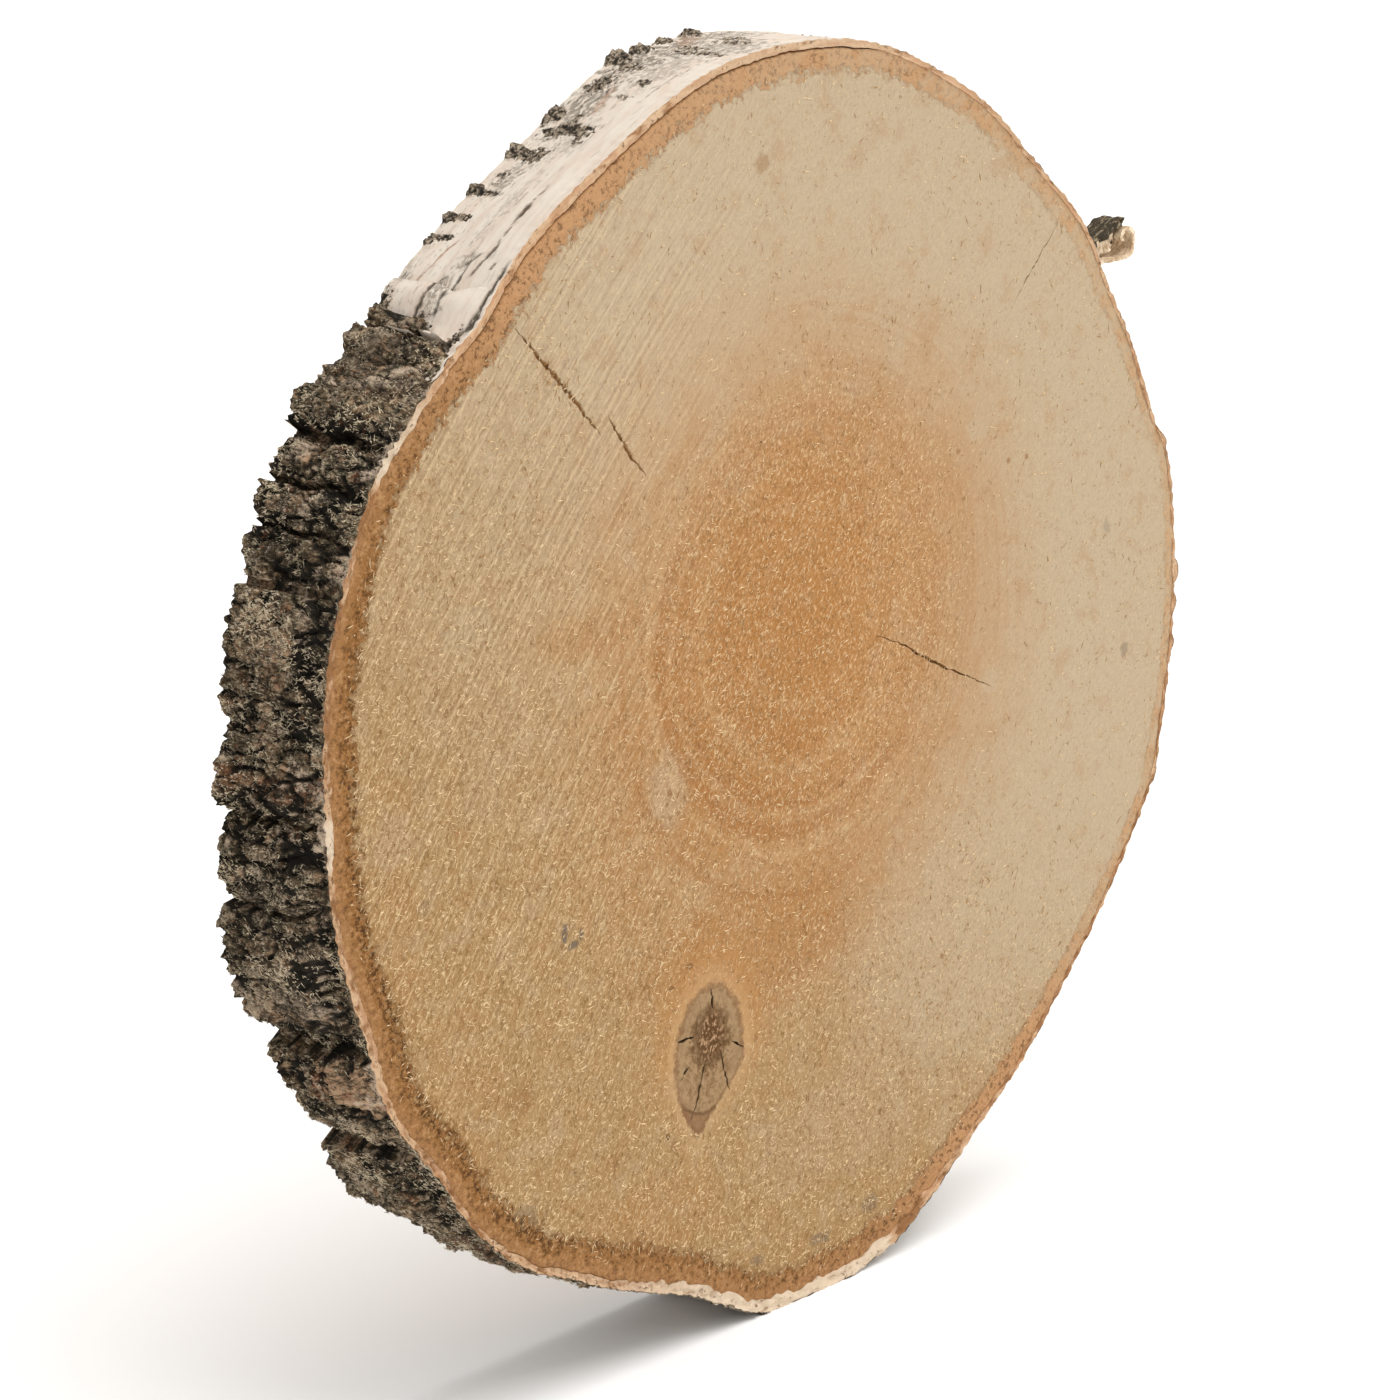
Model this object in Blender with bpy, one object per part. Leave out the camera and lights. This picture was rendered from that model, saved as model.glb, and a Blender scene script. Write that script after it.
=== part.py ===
"""A round slice of a birch trunk, sawn across the grain, standing on its own edge.

The front cut face looks towards -Y. Heights and angles on the slice are measured from the middle of the
cut face: an angle of 0 points to +X, 90 points up, and depth runs from the front face to the back.
"""
import math

import bmesh
import bpy
from mathutils import Vector, noise

MM = 0.001

# Driving sizes, in millimetres
THICKNESS = 26.2
MIDDLE_HEIGHT = 131.4
MIDDLE_SHIFT = 0.6
COLUMNS = 400
ROWS = 12
INNER_SHARE = 0.9
COLUMNS_PER_INNER = 4
GROWTH_DEPTH = 9.0

# The worn flat that the slice stands on: its first and last angle, and the bark that fills it out
FOOT_FIRST = 266.0
FOOT_LAST = 279.0
FOOT_FILL = 1.2

# The outline of the front face: angle in degrees, radius in millimetres
FRONT_OUTLINE = (
    (0, 129.4), (8, 129.5), (15.5, 129.3), (19, 126.5), (29, 125.4), (35, 125.0), (42, 126.8), (54, 126.6),
    (62, 128.9), (70, 130.3), (80, 131.9), (92, 131.6), (101, 130.5), (108, 128.5), (116, 126.2),
    (128, 125.6), (135, 123.8), (139, 125.3), (146, 127.7), (152, 130.0), (160, 130.2), (168, 129.9), (178, 128.3),
    (190, 128.0), (199, 127.0), (207, 128.2), (216, 126.1), (224, 127.6), (232, 127.0), (240, 124.6),
    (254, 124.1), (260, 127.0), (266, 131.2), (274, 132.3), (284, 132.5), (291, 129.4), (298, 126.1),
    (306, 124.8), (318, 124.2), (328, 125.8), (336, 128.3), (341, 130.2), (348, 129.4),
)

# The plates of old bark: first and last angle, and how far each edge stands out, in millimetres
BARK_PLATES = (
    (132.4, 137.4, 1.0, 2.4), (138.0, 141.0, 3.4, 1.8), (141.0, 144.6, 1.6, 2.8), (144.6, 148.3, 4.8, 4.8),
    (149.4, 152.7, 1.4, 3.0), (153.3, 156.5, 3.4, 2.4), (157.0, 161.0, 3.2, 2.0), (161.8, 173.2, 2.6, 1.4),
    (173.2, 179.8, 1.9, 4.9), (180.5, 187.6, 2.4, 4.2), (188.0, 194.0, 5.0, 7.6), (194.4, 199.6, 6.5, 3.8),
    (201.6, 207.4, 3.4, 2.6), (207.4, 212.6, 2.0, 1.2), (213.6, 220.2, 4.2, 6.4), (220.8, 226.0, 1.8, 0.6),
    (227.0, 236.0, 0.2, 0.7), (237.0, 247.0, 0.3, 0.5), (248.5, 256.0, 0.8, 0.4), (296.0, 304.0, 0.8, 1.8),
    (306.0, 313.0, 2.0, 0.9), (315.0, 324.0, 0.9, 2.0), (326.0, 334.0, 1.6, 0.7), (345.0, 356.0, 0.9, 1.7),
    (6.0, 15.0, 1.4, 0.8), (24.0, 34.0, 0.7, 1.6), (46.0, 53.0, 1.5, 0.7), (58.0, 68.0, 0.6, 1.3),
)
FURROW_DEPTH = 0.9
FURROW_WIDTH = 1.1

# Where the trunk draws in towards the back: four angles of each soft stretch, and how far it draws in
TAPERS = ((103.0, 111.0, 127.0, 132.5, 1.5), (240.0, 249.0, 258.0, 264.0, 2.2))

# Flakes of cork that stand past the outline: angle, depth, how far out, half width, half depth
CORK_FLAKES = (
    (2.2, 1.8, 2.8, 1.6, 2.6), (359.0, 2.4, 2.7, 1.5, 2.8), (354.9, 2.2, 2.2, 1.3, 2.6),
    (341.6, 1.8, 1.5, 1.6, 2.6), (16.2, 2.0, 1.2, 1.2, 2.6), (287.5, 3.0, 1.4, 1.6, 2.8),
    (121.0, 26.0, 1.8, 1.0, 3.6), (124.8, 26.0, 1.2, 0.9, 3.2), (127.6, 26.0, 1.2, 0.9, 3.0),
    (115.4, 26.0, 1.8, 1.2, 4.6), (110.0, 26.0, 1.4, 1.4, 5.0), (101.2, 26.0, 2.8, 1.4, 4.8),
    (98.4, 26.0, 1.8, 1.2, 5.0), (91.9, 26.0, 1.9, 1.3, 4.4), (95.4, 26.0, 1.0, 1.2, 5.0),
)

# Drying cracks on the front face: points across and up, in millimetres, and the full width of the crack
CRACKS = (
    (((-78.6, 85.0), (-73.0, 79.6), (-67.6, 74.0), (-62.2, 68.6), (-56.2, 62.0)), 0.9),
    (((-54.2, 65.4), (-50.6, 60.4), (-47.4, 56.0), (-43.8, 52.4)), 0.8),
    (((25.0, 8.6), (34.0, 5.0), (44.0, -0.6), (54.6, -5.4), (63.6, -9.6)), 0.8),
    (((84.2, 89.2), (79.4, 83.8), (74.0, 78.4), (69.0, 73.0)), 0.7),
)
KNOT_MIDDLE = (-25.6, -69.0)
KNOT_CRACKS = (
    ((0.2, 2.2), (-0.4, 7.6), (0.4, 13.0)),
    ((-2.0, 0.8), (-6.0, 1.6), (-10.0, 1.2)),
    ((2.0, 0.9), (5.6, 1.8), (9.6, 2.4)),
    ((-1.4, -2.0), (-3.8, -6.4), (-5.4, -10.2)),
    ((1.5, -1.9), (3.4, -6.2), (4.4, -10.4)),
)
KNOT_CRACK_WIDTH = 0.7
CRACK_DEPTH = 1.6
CRACK_OVERSHOOT = 0.8

# The curl of loose bark: the middle line of each strip across and up, its thickness and its depth range
CURL_STRIPS = (
    (((94.4, 74.8), (97.6, 76.8), (101.0, 77.7), (105.0, 77.6), (108.8, 77.9), (111.2, 79.4), (111.7, 81.6),
      (110.4, 83.8), (108.3, 84.3), (107.0, 83.1), (107.3, 81.6)), 1.2, 1.2, 7.0),
    (((91.6, 76.8), (95.2, 78.9), (99.0, 80.7), (102.4, 82.0), (104.6, 83.2)), 3.6, 2.4, 7.6),
)


def smooth_step(low, high, value):
    """A soft ramp from 0 at low to 1 at high."""
    share = min(1.0, max(0.0, (value - low) / (high - low)))
    return share * share * (3.0 - 2.0 * share)


def around(angle, middle):
    """The signed distance in degrees from a middle angle, the short way round."""
    return (angle - middle + 180.0) % 360.0 - 180.0


def front_radius(angle):
    """The radius of the front outline, on a smooth curve through its points."""
    count = len(FRONT_OUTLINE)
    angle = angle % 360.0
    after = next((i for i, point in enumerate(FRONT_OUTLINE) if point[0] > angle), count)
    points = []
    for step in (-2, -1, 0, 1):
        index = after + step
        turn = 360.0 * (index // count)
        degrees, radius = FRONT_OUTLINE[index % count]
        points.append((degrees + turn, radius))
    (x0, y0), (x1, y1), (x2, y2), (x3, y3) = points
    span = x2 - x1
    slope_in = (y2 - y0) / (x2 - x0) * span
    slope_out = (y3 - y1) / (x3 - x1) * span
    t = (angle - x1) / span
    return (
        y1 * (2 * t ** 3 - 3 * t ** 2 + 1)
        + slope_in * (t ** 3 - 2 * t ** 2 + t)
        + y2 * (3 * t ** 2 - 2 * t ** 3)
        + slope_out * (t ** 3 - t ** 2)
    )


def rough_zone(angle):
    """1 on the old rough bark, 0.4 on the far side and near 0.1 on the smooth white bark at the top."""
    old_bark = smooth_step(136.0, 140.0, angle) - smooth_step(236.0, 262.0, angle)
    far_side = smooth_step(236.0, 262.0, angle) + (1.0 - smooth_step(64.0, 88.0, angle))
    return 0.12 + 0.88 * old_bark + 0.42 * far_side


def plate_lift(angle):
    """How far the bark plate at this angle stands out, with a furrow at each of its edges."""
    lift = 0.0
    for first, last, lift_first, lift_last in BARK_PLATES:
        if first <= angle < last:
            share = (angle - first) / (last - first)
            edge = min(angle - first, last - angle)
            lift = lift_first + (lift_last - lift_first) * share + 0.5 * smooth_step(0.0, 1.4, edge)
    nearest = min(abs(around(angle, plate[1])) for plate in BARK_PLATES)
    return lift - FURROW_DEPTH * math.exp(-((nearest / FURROW_WIDTH) ** 2))


def taper(angle, depth):
    """How far the trunk draws in at this angle and depth."""
    drawn = 0.0
    for rise, full, fade, end, amount in TAPERS:
        drawn += amount * (smooth_step(rise, full, angle) - smooth_step(fade, end, angle))
    return drawn * smooth_step(2.0, THICKNESS, depth)


def flake_lift(angle, depth):
    """The small flakes of cork that stand past the outline."""
    lift = 0.0
    for middle, flake_depth, height, half_width, half_depth in CORK_FLAKES:
        across = around(angle, middle) / half_width
        along = (depth - flake_depth) / half_depth
        reach = across * across + along * along
        if reach < 1.0:
            lift = max(lift, height * (1.0 - reach))
    return lift


def bark_relief(angle, depth):
    """How far the bark stands out of the front outline at this angle and depth."""
    rough = rough_zone(angle)
    arc = math.radians(angle) * 128.0
    wander = 1.3 * noise.noise(Vector((arc * 0.05, depth * 0.16, 3.0))) * (1.0 - depth / THICKNESS)
    growth = smooth_step(0.0, GROWTH_DEPTH, depth)
    ring = Vector((64.0 * math.cos(math.radians(angle)), 64.0 * math.sin(math.radians(angle)), 0.0))
    lumps = noise.noise(ring * 0.34 + Vector((0.0, 0.0, depth * 0.20)))
    grit = noise.noise(ring * 0.85 + Vector((7.0, 5.0, depth * 0.42)))
    lift = growth * plate_lift((angle + wander) % 360.0)
    lift += smooth_step(0.0, 3.0, depth) * rough * (1.25 * lumps + 0.7 * grit)
    lift += flake_lift(angle, depth) - taper(angle, depth)
    ragged_edge = 0.25 + 0.35 * rough
    lift += ragged_edge * noise.noise(ring * 1.3) * (1.0 - smooth_step(0.0, 4.0, depth))
    return lift


def rim_point(angle, depth):
    """One point of the rim in metres. The underside is flat where the slice stands on it."""
    radius = front_radius(angle) + bark_relief(angle, depth)
    across = radius * math.cos(math.radians(angle))
    up = radius * math.sin(math.radians(angle))
    if FOOT_FIRST < angle < FOOT_LAST:
        up -= FOOT_FILL * smooth_step(0.0, 1.0, depth)
    up = max(up, -MIDDLE_HEIGHT)
    return place(across, up, depth)


def place(across, up, depth):
    """A point in metres from its place across, up and behind the front face, in millimetres."""
    return Vector((
        (across + MIDDLE_SHIFT) * MM,
        (depth - THICKNESS / 2.0) * MM,
        (up + MIDDLE_HEIGHT) * MM,
    ))


def new_object(name, build):
    """A new object in the scene, with the mesh that the build function leaves in a bmesh."""
    work = bmesh.new()
    build(work)
    bmesh.ops.recalc_face_normals(work, faces=work.faces)
    mesh = bpy.data.meshes.new(name)
    work.to_mesh(mesh)
    work.free()
    item = bpy.data.objects.new(name, mesh)
    bpy.context.scene.collection.objects.link(item)
    return item


def build_slice(work):
    """The round slice: rings of rim points from front to back, closed by the two flat cut faces."""
    rings = []
    for row in range(ROWS + 1):
        depth = THICKNESS * row / ROWS
        points = [rim_point(360.0 * column / COLUMNS, depth) for column in range(COLUMNS)]
        rings.append([work.verts.new(point) for point in points])
    for near, far in zip(rings, rings[1:]):
        for column in range(COLUMNS):
            after = (column + 1) % COLUMNS
            work.faces.new((near[column], near[after], far[after], far[column]))
    close_face(work, rings[0], 0.0)
    close_face(work, rings[-1], THICKNESS)
    bmesh.ops.triangulate(work, faces=work.faces[:], quad_method="BEAUTY", ngon_method="BEAUTY")


def close_face(work, ring, depth):
    """One flat cut face: a band of triangles from the rim to a coarser inner ring, and its middle."""
    inner = []
    for column in range(0, COLUMNS, COLUMNS_PER_INNER):
        angle = 360.0 * column / COLUMNS
        radius = front_radius(angle) * INNER_SHARE
        across = radius * math.cos(math.radians(angle))
        up = radius * math.sin(math.radians(angle))
        inner.append(work.verts.new(place(across, up, depth)))
    half = COLUMNS_PER_INNER // 2
    for index, corner in enumerate(inner):
        after = inner[(index + 1) % len(inner)]
        start = index * COLUMNS_PER_INNER
        for step in range(COLUMNS_PER_INNER):
            near = corner if step < half else after
            work.faces.new((ring[start + step], ring[(start + step + 1) % COLUMNS], near))
        work.faces.new((ring[start + half], after, corner))
    work.faces.new(inner)


def build_groove(work, points, width):
    """A wedge along a line of points, deep in its middle and shallow at its ends, for one crack."""
    stations = []
    last = len(points) - 1
    for index, (across, up) in enumerate(points):
        ahead = points[min(index + 1, last)]
        behind = points[max(index - 1, 0)]
        run = math.hypot(ahead[0] - behind[0], ahead[1] - behind[1])
        side_across = -(ahead[1] - behind[1]) / run
        side_up = (ahead[0] - behind[0]) / run
        share = 0.25 + 0.75 * math.sin(math.pi * (index + 0.5) / (last + 1.0))
        deep = CRACK_DEPTH * share
        half = width / 2.0 * share * (deep + CRACK_OVERSHOOT) / deep
        out_across = side_across * half
        out_up = side_up * half
        left = work.verts.new(place(across + out_across, up + out_up, -CRACK_OVERSHOOT))
        right = work.verts.new(place(across - out_across, up - out_up, -CRACK_OVERSHOOT))
        bottom = work.verts.new(place(across, up, deep))
        stations.append((left, right, bottom))
    for here, there in zip(stations, stations[1:]):
        for first, second in ((0, 1), (1, 2), (2, 0)):
            work.faces.new((here[first], here[second], there[second], there[first]))
    work.faces.new(stations[0])
    work.faces.new(tuple(reversed(stations[-1])))


def build_all_grooves(work):
    """Every crack of the face and of the knot, none of which touches another."""
    for points, width in CRACKS:
        build_groove(work, points, width)
    for offsets in KNOT_CRACKS:
        points = [(KNOT_MIDDLE[0] + across, KNOT_MIDDLE[1] + up) for across, up in offsets]
        build_groove(work, points, KNOT_CRACK_WIDTH)


def smooth_line(points, pieces):
    """More points on a smooth curve through the given ones."""
    line = []
    last = len(points) - 1
    for index in range(last):
        before = Vector(points[max(index - 1, 0)])
        start = Vector(points[index])
        end = Vector(points[index + 1])
        after = Vector(points[min(index + 2, last)])
        for piece in range(pieces):
            t = piece / pieces
            line.append(
                start * (2 * t ** 3 - 3 * t ** 2 + 1)
                + (end - before) * 0.5 * (t ** 3 - 2 * t ** 2 + t)
                + end * (3 * t ** 2 - 2 * t ** 3)
                + (after - start) * 0.5 * (t ** 3 - t ** 2)
            )
    line.append(Vector(points[last]))
    return line


def build_strip(work, points, thickness, near, far):
    """A strip of bark bent along a line: a band with a wavy edge, from its root to its free end."""
    line = smooth_line(points, 2)
    last = len(line) - 1
    sections = []
    for index, middle in enumerate(line):
        run = (line[min(index + 1, last)] - line[max(index - 1, 0)]).normalized()
        side = Vector((-run.y, run.x)) * thickness / 2.0
        wave = 0.7 * math.sin(index * 1.7)
        section = []
        for edge, depth in ((1, near + wave), (1, far - wave), (-1, far - wave), (-1, near + wave)):
            corner = middle + side * edge
            section.append(work.verts.new(place(corner.x, corner.y, depth)))
        sections.append(section)
    for here, there in zip(sections, sections[1:]):
        for corner in range(4):
            after = (corner + 1) % 4
            work.faces.new((here[corner], here[after], there[after], there[corner]))
    work.faces.new(sections[0])
    work.faces.new(tuple(reversed(sections[-1])))
    bmesh.ops.triangulate(work, faces=work.faces[:])


def add_boolean(item, cutter, operation):
    """A live Boolean on the slice, with its cutter left out of the picture."""
    cutter.hide_render = True
    cutter.display_type = "WIRE"
    modifier = item.modifiers.new(cutter.name, "BOOLEAN")
    modifier.operation = operation
    modifier.solver = "EXACT"
    modifier.object = cutter


def birch_material():
    """The pale sawn wood, matt and without metal."""
    material = bpy.data.materials.new("birch_wood")
    material.use_nodes = True
    shader = material.node_tree.nodes["Principled BSDF"]
    shader.inputs["Base Color"].default_value = (0.58, 0.42, 0.24, 1.0)
    shader.inputs["Roughness"].default_value = 0.8
    shader.inputs["Metallic"].default_value = 0.0
    return material


def main():
    """Builds the slice and leaves it as the only solid in the scene."""
    for item in list(bpy.data.objects):
        bpy.data.objects.remove(item)
    wood_slice = new_object("wood_slice", build_slice)
    wood_slice.data.materials.append(birch_material())
    for number, (points, thickness, near, far) in enumerate(CURL_STRIPS):
        strip = new_object(
            f"curl_strip_{number + 1}",
            lambda work: build_strip(work, points, thickness, near, far),
        )
        add_boolean(wood_slice, strip, "UNION")
    grooves = new_object("crack_cutter", build_all_grooves)
    add_boolean(wood_slice, grooves, "DIFFERENCE")
    wood_slice.data.shade_smooth()
    wood_slice.data.set_sharp_from_angle(angle=math.radians(40.0))


main()
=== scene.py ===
# %% [markdown]
# # A slice of birch trunk
# This file dresses the plain model of a round slice of birch that stands on its own edge. Each step
# first says what the piece is on the real slice, how it could be made, and why this way was chosen.

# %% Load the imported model
import math
import random
import bmesh
import bpy
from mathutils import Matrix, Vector, noise


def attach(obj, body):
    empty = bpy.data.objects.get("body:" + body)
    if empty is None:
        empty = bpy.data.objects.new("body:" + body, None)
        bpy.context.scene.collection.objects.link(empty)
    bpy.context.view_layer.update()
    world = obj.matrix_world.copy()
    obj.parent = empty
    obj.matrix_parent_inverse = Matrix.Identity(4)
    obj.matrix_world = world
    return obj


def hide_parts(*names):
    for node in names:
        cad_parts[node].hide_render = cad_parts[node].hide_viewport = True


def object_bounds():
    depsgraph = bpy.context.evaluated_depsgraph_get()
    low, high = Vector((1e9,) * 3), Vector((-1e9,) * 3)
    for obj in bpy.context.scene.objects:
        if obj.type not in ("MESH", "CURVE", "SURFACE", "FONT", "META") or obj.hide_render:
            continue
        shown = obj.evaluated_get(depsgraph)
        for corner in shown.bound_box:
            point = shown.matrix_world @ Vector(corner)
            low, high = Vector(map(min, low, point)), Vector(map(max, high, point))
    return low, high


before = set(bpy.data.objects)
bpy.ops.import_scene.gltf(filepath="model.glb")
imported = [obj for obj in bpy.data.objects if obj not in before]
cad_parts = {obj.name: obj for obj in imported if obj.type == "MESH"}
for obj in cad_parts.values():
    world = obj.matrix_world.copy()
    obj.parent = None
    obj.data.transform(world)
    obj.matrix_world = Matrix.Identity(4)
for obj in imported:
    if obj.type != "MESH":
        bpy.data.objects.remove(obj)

CAD_LOW, CAD_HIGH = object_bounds()
print("packed model, millimetres:", [round(side * 1000, 1) for side in CAD_HIGH - CAD_LOW])

# %% [markdown]
# ## The camera
# The photograph looks at the sawn face from its left and a little from above, with a long lens. A
# camera could be set by eye. Here its turn, rise, distance and lens are values that were worked out
# from the ellipse of the face.

# %% Camera
AIM = Vector((-0.02826, -0.0131, 0.13668))
CAMERA_TURN = math.radians(-47.40)
CAMERA_RISE = math.radians(14.62)
CAMERA_DISTANCE = 0.7861
CAMERA_LENS = 102.857
away = Vector((
    math.sin(CAMERA_TURN) * math.cos(CAMERA_RISE),
    -math.cos(CAMERA_TURN) * math.cos(CAMERA_RISE),
    math.sin(CAMERA_RISE),
))
bpy.ops.object.camera_add(
    location=AIM + away * CAMERA_DISTANCE,
    rotation=away.to_track_quat("Z", "Y").to_euler(),
)
camera = bpy.context.active_object
camera.data.lens = CAMERA_LENS
camera.data.sensor_width = 36.0
camera.data.clip_start = 0.01
bpy.context.scene.camera = camera
print("camera at", [round(value, 3) for value in camera.location])

# %% [markdown]
# ## Floor and light
# The slice stands on a white studio floor that melts into a white background. A world that is brighter
# towards the front right gives the soft fill. A very broad sun from above gives the soft shadow under
# the slice, and a large lamp lights its face.

# %% Floor
bpy.ops.object.select_all(action="DESELECT")
bpy.ops.mesh.primitive_circle_add(vertices=96, radius=4.0, fill_type="NGON", location=(0.0, 0.0, 0.0))
floor = bpy.context.active_object
floor.name = "studio_floor"
floor_paint = bpy.data.materials.new("floor_paper")
floor_paint.use_nodes = True
floor_shader = floor_paint.node_tree.nodes["Principled BSDF"]
floor_shader.inputs["Base Color"].default_value = (0.97, 0.97, 0.97, 1.0)
floor_shader.inputs["Roughness"].default_value = 0.9
floor_shader.inputs["Specular IOR Level"].default_value = 0.1
floor.data.materials.append(floor_paint)

# %% World and lamps
WORLD_FRONT = 0.93
WORLD_BACK = 0.44
WORLD_COLOUR = (1.0, 0.962, 0.925, 1.0)
BRIGHT_SIDE = (0.62, -0.78, 0.0)
LAMP_SIZE = 1.3
SUN_SPREAD = math.radians(50.0)
LAMPS = (
    ("lamp_front", "AREA", (0.55, -1.55, 1.05), 4.5),
    ("lamp_top", "SUN", (0.14, -0.40, 1.75), 2.10),
)
world = bpy.data.worlds.new("studio")
world.use_nodes = True
sky = world.node_tree
background = sky.nodes["Background"].inputs
background["Color"].default_value = WORLD_COLOUR
sky_place = sky.nodes.new("ShaderNodeTexCoord").outputs["Generated"]
sky_side = sky.nodes.new("ShaderNodeVectorMath")
sky_side.operation = "DOT_PRODUCT"
sky_side.inputs[1].default_value = BRIGHT_SIDE
sky_range = sky.nodes.new("ShaderNodeMapRange")
for socket, value in (("From Min", -1.0), ("To Min", WORLD_BACK), ("To Max", WORLD_FRONT)):
    sky_range.inputs[socket].default_value = value
sky.links.new(sky_place, sky_side.inputs[0])
sky.links.new(sky_side.outputs["Value"], sky_range.inputs["Value"])
sky.links.new(sky_range.outputs[0], background["Strength"])
bpy.context.scene.world = world
for lamp_name, lamp_kind, lamp_place, lamp_power in LAMPS:
    look = AIM - Vector(lamp_place)
    bpy.ops.object.light_add(
        type=lamp_kind, location=lamp_place, rotation=look.to_track_quat("-Z", "Y").to_euler(),
    )
    lamp = bpy.context.active_object
    lamp.name = lamp_name
    lamp.data.energy = lamp_power
    if lamp_kind == "AREA":
        lamp.data.size = LAMP_SIZE
    else:
        lamp.data.angle = SUN_SPREAD
bpy.context.scene.view_settings.view_transform = "Standard"
bpy.context.scene.view_settings.look = "None"
print("lamps:", len(LAMPS))

# %% [markdown]
# ## Places on the slice
# Every formula below talks in millimetres: across and up from the middle of the front face, and depth
# from the front face to the back. Round the rim, an angle of 0 points to the right and 90 points up.

# %% Places
MM = 0.001
THICKNESS = 26.2
MIDDLE_HEIGHT = 131.4
MIDDLE_SHIFT = 0.6
RIM_RADIUS = 128.0
FACE_STEP = 0.3
SLANT = (0.55, 0.62)


def place(across, up, depth):
    """A point in metres from its place on the slice in millimetres."""
    return (
        (across + MIDDLE_SHIFT) * MM,
        (depth - THICKNESS / 2.0) * MM,
        (up + MIDDLE_HEIGHT) * MM,
    )


def place_round(angle, radius, depth):
    """A point in metres from its angle, its distance from the middle and its depth."""
    turn = math.radians(angle)
    return place(radius * math.cos(turn), radius * math.sin(turn), depth)


def smooth_step(low, high, value):
    """A soft ramp from 0 at low to 1 at high."""
    share = min(1.0, max(0.0, (value - low) / (high - low)))
    return share * share * (3.0 - 2.0 * share)


def noise_at(x, y, z):
    """Smooth noise between about -1 and 1."""
    return noise.noise(Vector((x, y, z)))


def around(angle, middle):
    """The signed distance in degrees from a middle angle, the short way round."""
    return (angle - middle + 180.0) % 360.0 - 180.0


def by_angle(table, angle):
    """A value read from a table of angles and values that closes on itself."""
    angle = angle % 360.0
    before = (table[-1][0] - 360.0, table[-1][1])
    for after in list(table) + [(table[0][0] + 360.0, table[0][1])]:
        if angle < after[0]:
            share = (angle - before[0]) / (after[0] - before[0])
            return before[1] + (after[1] - before[1]) * share
        before = after
    return before[1]


# %% [markdown]
# ## The outline and the plates of bark
# The trunk isn't round. Its outline and its thick plates of bark are the same formulas as in the packed
# model, so that the dressed slice lies exactly on it.

# %% Outline of the trunk
FRONT_OUTLINE = (
    (0, 129.4), (8, 129.5), (15.5, 129.3), (19, 126.5), (29, 125.4), (35, 125.0), (42, 126.8),
    (54, 126.6), (62, 128.9), (70, 130.3), (80, 131.9), (92, 131.6), (101, 130.5), (108, 128.5),
    (116, 126.2), (128, 125.6), (135, 123.8), (139, 125.3), (146, 127.7), (152, 130.0), (160, 130.2),
    (168, 129.9), (178, 128.3), (190, 128.0), (199, 127.0), (207, 128.2), (216, 126.1), (224, 127.6),
    (232, 127.0), (240, 124.6), (254, 124.1), (260, 127.0), (266, 131.2), (274, 132.3), (284, 132.5),
    (291, 129.4), (298, 126.1), (306, 124.8), (318, 124.2), (328, 125.8), (336, 128.3), (341, 130.2),
    (348, 129.4),
)


def front_radius(angle):
    """The radius of the front outline, on a smooth curve through its points."""
    count = len(FRONT_OUTLINE)
    angle = angle % 360.0
    after = next((i for i, point in enumerate(FRONT_OUTLINE) if point[0] > angle), count)
    points = []
    for step in (-2, -1, 0, 1):
        index = after + step
        degrees, radius = FRONT_OUTLINE[index % count]
        points.append((degrees + 360.0 * (index // count), radius))
    (x0, y0), (x1, y1), (x2, y2), (x3, y3) = points
    slope_in = (y2 - y0) / (x2 - x0) * (x2 - x1)
    slope_out = (y3 - y1) / (x3 - x1) * (x2 - x1)
    t = (angle - x1) / (x2 - x1)
    start = y1 * (2 * t ** 3 - 3 * t ** 2 + 1) + slope_in * (t ** 3 - 2 * t ** 2 + t)
    end = y2 * (3 * t ** 2 - 2 * t ** 3) + slope_out * (t ** 3 - t ** 2)
    return start + end


# %% Plates, tapers and flakes
BARK_PLATES = (
    (132.4, 137.4, 1.0, 2.4), (138.0, 141.0, 3.4, 1.8), (141.0, 144.6, 1.6, 2.8),
    (144.6, 148.3, 4.8, 4.8), (149.4, 152.7, 1.4, 3.0), (153.3, 156.5, 3.4, 2.4),
    (157.0, 161.0, 3.2, 2.0), (161.8, 173.2, 2.6, 1.4), (173.2, 179.8, 1.9, 4.9),
    (180.5, 187.6, 2.4, 4.2), (188.0, 194.0, 5.0, 7.6), (194.4, 199.6, 6.5, 3.8),
    (201.6, 207.4, 3.4, 2.6), (207.4, 212.6, 2.0, 1.2), (213.6, 220.2, 4.2, 6.4),
    (220.8, 226.0, 1.8, 0.6), (227.0, 236.0, 0.2, 0.7), (237.0, 247.0, 0.3, 0.5),
    (248.5, 256.0, 0.8, 0.4), (296.0, 304.0, 0.8, 1.8), (306.0, 313.0, 2.0, 0.9),
    (315.0, 324.0, 0.9, 2.0), (326.0, 334.0, 1.6, 0.7), (345.0, 356.0, 0.9, 1.7), (6.0, 15.0, 1.4, 0.8),
    (24.0, 34.0, 0.7, 1.6), (46.0, 53.0, 1.5, 0.7), (58.0, 68.0, 0.6, 1.3),
)
TAPERS = ((103.0, 111.0, 127.0, 132.5, 1.5), (240.0, 249.0, 258.0, 264.0, 2.2))
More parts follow.
